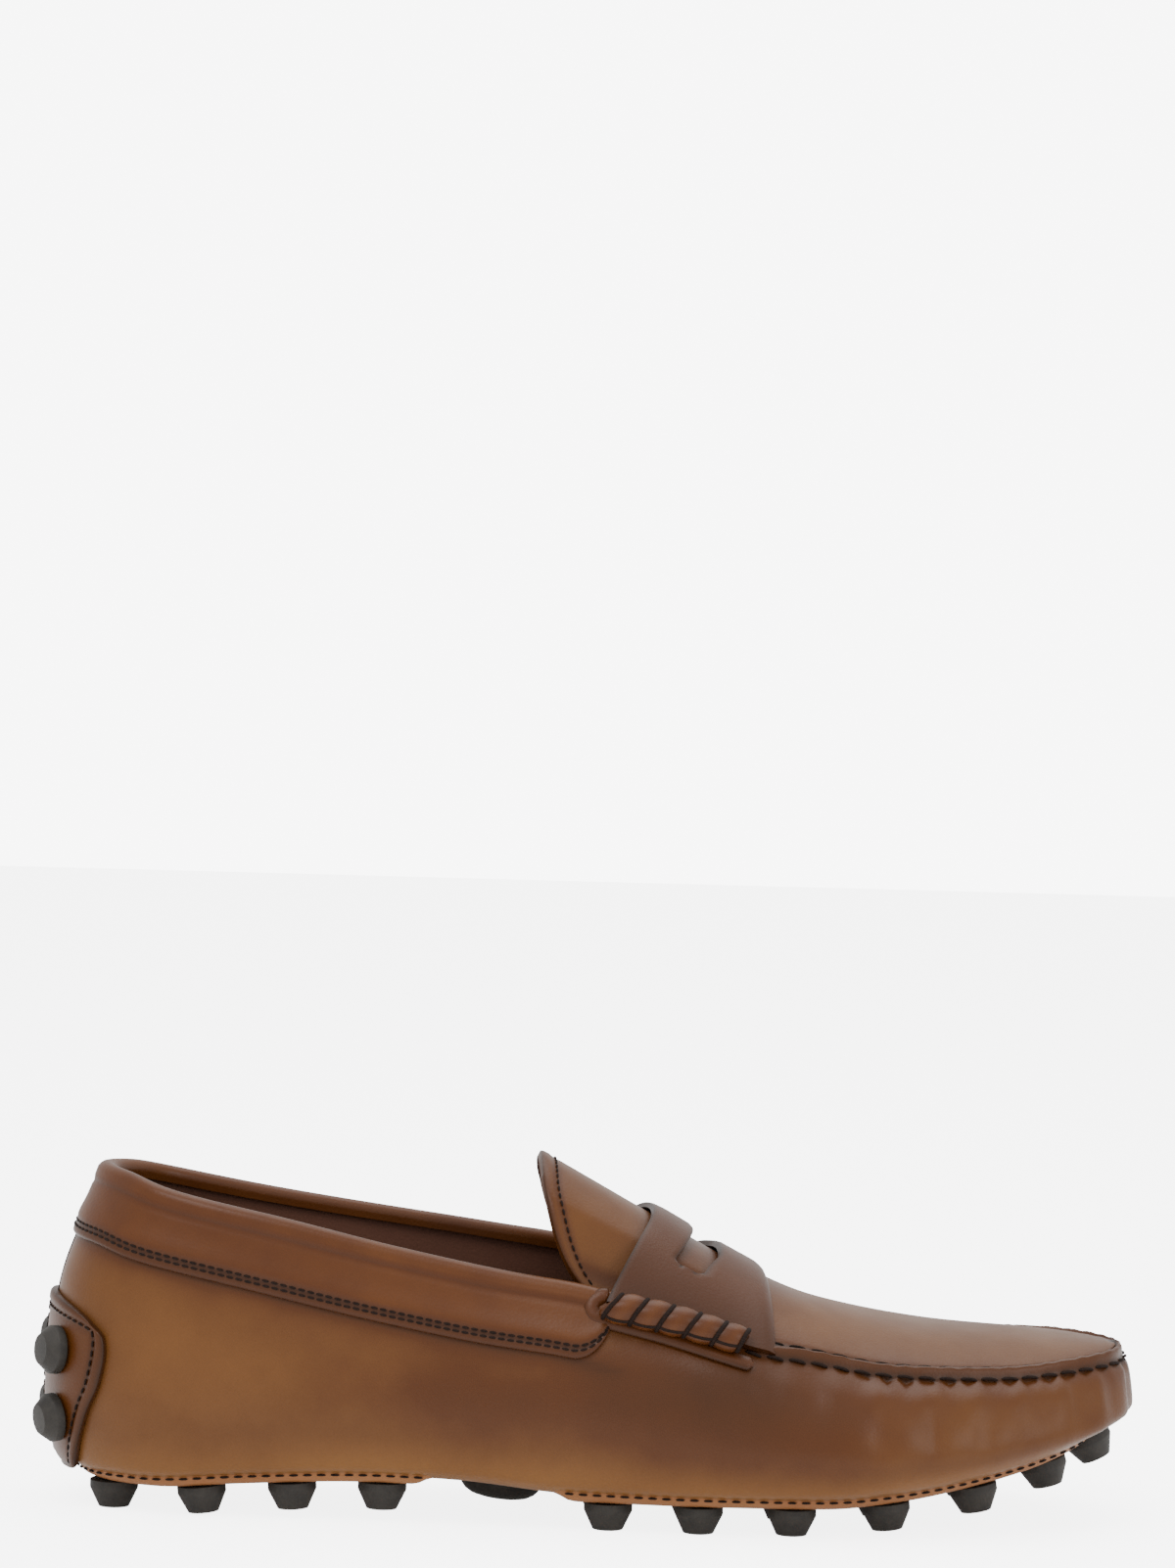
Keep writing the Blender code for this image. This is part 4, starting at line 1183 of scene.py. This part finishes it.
def stud_columns(share, count):
    """Places across for a row of studs, set in from the tread's two edges."""
    turn = float(ring_turn("tread", share))
    low = ring_points(turn)[1][1] + STUD_BASE_RADIUS * 0.62
    high = ring_points(2.0 - turn)[1][1] - STUD_BASE_RADIUS * 0.62
    return np.linspace(low, high, count)


def under_seat(share, y, drop):
    """Seat of a rubber piece below the bottom, and the direction it points."""
    x, reach = LENGTH * share, 0.004
    slope = float(underside(x + reach) - underside(x - reach)) / (2 * reach)
    out = np.array([slope, 0.0, -1.0]) / math.hypot(slope, 1.0)
    return np.array([x, y, float(underside(x))]) + out * drop, out


def build_studs():
    for area, rows in (("heel", HEEL_ROWS), ("fore", FORE_ROWS)):
        for r, (share, count) in enumerate(rows, 1):
            for c, y in enumerate(stud_columns(share, count), 1):
                node = f"stud_{area}_{r}_{c}"
                seat, out = under_seat(share, y, SOLE_THICKNESS + 2 * CLEARANCE)
                turned_piece(f"rubber_{node}", seat, out, stud_profile(STUD_HEIGHT), node)
    seat, out = lifted(1.0, TOE_STUD_LEVEL, SOLE_THICKNESS + 3 * CLEARANCE), skin_out(1.0, TOE_STUD_LEVEL)
    turned_piece("rubber_stud_toe", seat, out, stud_profile(STUD_HEIGHT), "stud_toe")
    for level_name, v in BACK_STUD_LEVELS:
        for side_name, sign in (("lateral", 1), ("medial", -1)):
            around = sign * BACK_STUD_APART / 2 / HEEL_ARC % 2.0
            node = f"stud_back_{level_name}_{side_name}"
            seat = lifted(around, v, PATCH_THICKNESS + 2 * CLEARANCE)
            turned_piece(f"rubber_{node}", seat, skin_out(around, v), stud_profile(BACK_STUD_HEIGHT), node)
    seat, out = under_seat(DISC_PLACE, 0.0, 2 * CLEARANCE)
    # share of the disc's reach, share of its radius
    dome = [(0.0, 0.98), (0.04, 1.0), (0.46, 1.0), (0.52, 0.985), (0.66, 0.945), (0.80, 0.86),
            (0.92, 0.72), (0.98, 0.55), (1.0, 0.35)]
    turned_piece("rubber_arch_disc", seat, out,
                 [(h * DISC_REACH, r * DISC_RADIUS) for h, r in dome], "arch_disc")


# Stitches


STITCH_ROWS = []
THREAD_TUBES = []


def tube_points(path, radius, sides):
    """Closed tube along a short path, pinched at its ends."""
    tangents = np.gradient(path, axis=0)
    tangents /= np.linalg.norm(tangents, axis=1, keepdims=True)
    side = np.cross(tangents, np.array([0.31, 0.17, 0.93]))
    side /= np.linalg.norm(side, axis=1, keepdims=True)
    other = np.cross(tangents, side)
    reach = np.full(len(path), radius)
    reach[[0, -1]] *= 0.45
    rings = [round_ring(a, b, sides) * r for a, b, r in zip(side, other, reach)]
    return sweep_faces([place + ring for place, ring in zip(path, rings)])


def join_tubes(name, tubes):
    points, faces, offset = [], [], 0
    for tube, tube_faces in tubes:
        points.append(tube)
        faces += [tuple(offset + k for k in face) for face in tube_faces]
        offset += len(tube)
    make_piece(name, np.concatenate(points), faces, [THREAD], ())


def stitch_run(rows, pitch, dash, radius):
    """Dashes along a line of points, each arched a little and sunk at its ends."""
    run = run_along(rows)
    count = max(1, int(run[-1] / pitch))
    spacing = run[-1] / count
    tubes = []
    for k in range(count):
        middle = (k + 0.5) * spacing
        places = np.linspace(middle - dash / 2, middle + dash / 2, 5)
        path = np.stack([np.interp(places, run, rows[:, axis]) for axis in range(3)], axis=1)
        tubes.append(tube_points(path, radius, 6))
    return tubes


def build_back_seam():
    """Closed seam up the middle of the heel, from the patch to the band."""
    levels = np.linspace(PATCH_TOP - 0.01, 1 - BAND_HEIGHT / wall_height(0.0) + 0.01, 24)
    THREAD_TUBES.append((lifted(np.zeros_like(levels), levels, -0.0002), BACK_SEAM_RADIUS))


def build_seam_stitches():
    """Thick running stitches on both sides of the apron's ridge."""
    tubes = []
    front = [k for k in range(len(AROUND)) if ridge_grow(turn_from(AROUND[k])) > 0.1]
    around, run = AROUND[front], SEAM_RUN[front]
    count = int((run[-1] - run[0]) / SEAM_PITCH)
    arch = 0.00035 * np.sin(np.linspace(0, math.pi, 9)) - 0.0001
    for k in range(count):
        middle = run[0] + (k + 0.5) * (run[-1] - run[0]) / count
        a = np.interp(np.linspace(middle - SEAM_STITCH / 2, middle + SEAM_STITCH / 2, 9), run, around)
        level = 1 - (SEAM_INSET + 0.0003 * np.linspace(-1, 1, 9)) / wall_height(a, 0.1)
        tubes.append(tube_points(lifted(a, level, 0.0001 + arch), SEAM_OUTER_RADIUS, 7))
        turn = turn_from(a)
        half = np.linalg.norm(skin(turn, 1.0) - skin(2 - turn, 1.0), axis=1) / 2
        if half.min() < 0.012:
            continue
        q = np.where(a <= 1.0, -1.0, 1.0) * (1 - SEAM_INSET / half)
        share = edge_share(turn)
        path = instep(share, q) + instep_out(share, q) * arch[:, None]
        tubes.append(tube_points(path, SEAM_INNER_RADIUS, 7))
    join_tubes("apron_stitches", tubes)


def build_stitches():
    for name, rows, sewing in STITCH_ROWS:
        join_tubes(f"stitches_{name}", stitch_run(rows, *sewing))
    join_tubes("roll_whipping", [tube_points(path, radius, 8) for path, radius in THREAD_TUBES])


# Floor, light and camera


def brighter_when_seen(tree, socket, lit, seen):
    """Give a strength one value for the light it sheds and a higher one where it is looked at."""
    rays = tree.nodes.new("ShaderNodeLightPath")
    blend = tree.nodes.new("ShaderNodeMath")
    blend.operation = "MULTIPLY_ADD"
    tree.links.new(rays.outputs["Is Camera Ray"], blend.inputs[0])
    blend.inputs[1].default_value = seen - lit
    blend.inputs[2].default_value = lit
    tree.links.new(blend.outputs["Value"], socket)


def build_stage():
    size = 4.0
    mesh = bpy.data.meshes.new("floor")
    mesh.from_pydata([(-size, -size, 0), (size, -size, 0), (size, size, 0), (-size, size, 0)], [],
                     [(0, 1, 2, 3)])
    mat, nodes, links, shader, place = new_material(
        "pale_floor", Roughness=0.9, Emission_Color=(1, 1, 1, 1))
    paint(nodes, links, shader, noise_node(nodes, links, place, 3.0, 2.0, 0.5),
          [(0.0, (0.91, 0.91, 0.91)), (1.0, (0.93, 0.93, 0.93))])
    brighter_when_seen(mat.node_tree, shader.inputs["Emission Strength"], *FLOOR_GLOW)
    mesh.materials.append(mat)
    add_object("floor", mesh)
    world = bpy.data.worlds.new("studio")
    world.use_nodes = True
    backdrop = world.node_tree.nodes["Background"]
    set_inputs(backdrop, Color=(1, 1, 1, 1))
    brighter_when_seen(world.node_tree, backdrop.inputs["Strength"], *BACKDROP_GLOW)
    bpy.context.scene.world = world
    # name, place, size, power
    for name, place, size, power in (("key", (-0.5, -0.9, 1.5), 0.8, 17),
                                     ("top", (0.15, 0.5, 1.6), 1.2, 14),
                                     ("front", (1.1, -0.9, 0.7), 0.5, 5)):
        lamp = bpy.data.lights.new(name, "AREA")
        lamp.size, lamp.energy = size, power
        item = add_object(name, lamp)
        item.location = place
        item.rotation_euler = (Vector((0, 0, 0.04)) - Vector(place)).to_track_quat("-Z", "Y").to_euler()


def build_camera():
    azimuth, elevation = math.radians(CAMERA_AZIMUTH), math.radians(CAMERA_ELEVATION)
    back = Vector((math.sin(azimuth) * math.cos(elevation), -math.cos(azimuth) * math.cos(elevation),
                   math.sin(elevation)))
    aim = Vector((0.0, 0.0, AIM_HEIGHT))
    data = bpy.data.cameras.new("camera")
    data.sensor_fit = "HORIZONTAL"
    data.sensor_width = 36.0
    data.lens = 36.0 * CAMERA_DISTANCE / (IMAGE_WIDTH / PIXELS_PER_METRE)
    data.shift_x = -(AIM_PIXEL[0] - IMAGE_WIDTH / 2) / IMAGE_WIDTH
    data.shift_y = (AIM_PIXEL[1] - IMAGE_HEIGHT / 2) / IMAGE_WIDTH
    data.clip_start = 0.05
    camera = add_object("camera", data)
    turn = (-back).to_track_quat("-Z", "Y").to_matrix().to_4x4()
    roll = Matrix.Rotation(math.radians(-CAMERA_ROLL), 4, "Z")
    camera.matrix_world = Matrix.Translation(aim + back * CAMERA_DISTANCE) @ turn @ roll
    bpy.context.scene.camera = camera


build_camera()
build_stage()
build_body()
build_band()
build_patch()
build_tongue()
build_strap()
build_roll("roll_lateral", -1, "strap_roll_lateral")
build_roll("roll_medial", 1, "strap_roll_medial")
build_lip("roll_lip_lateral", -1)
build_lip("roll_lip_medial", 1)
build_soles()
build_studs()
build_back_seam()
build_seam_stitches()
build_stitches()
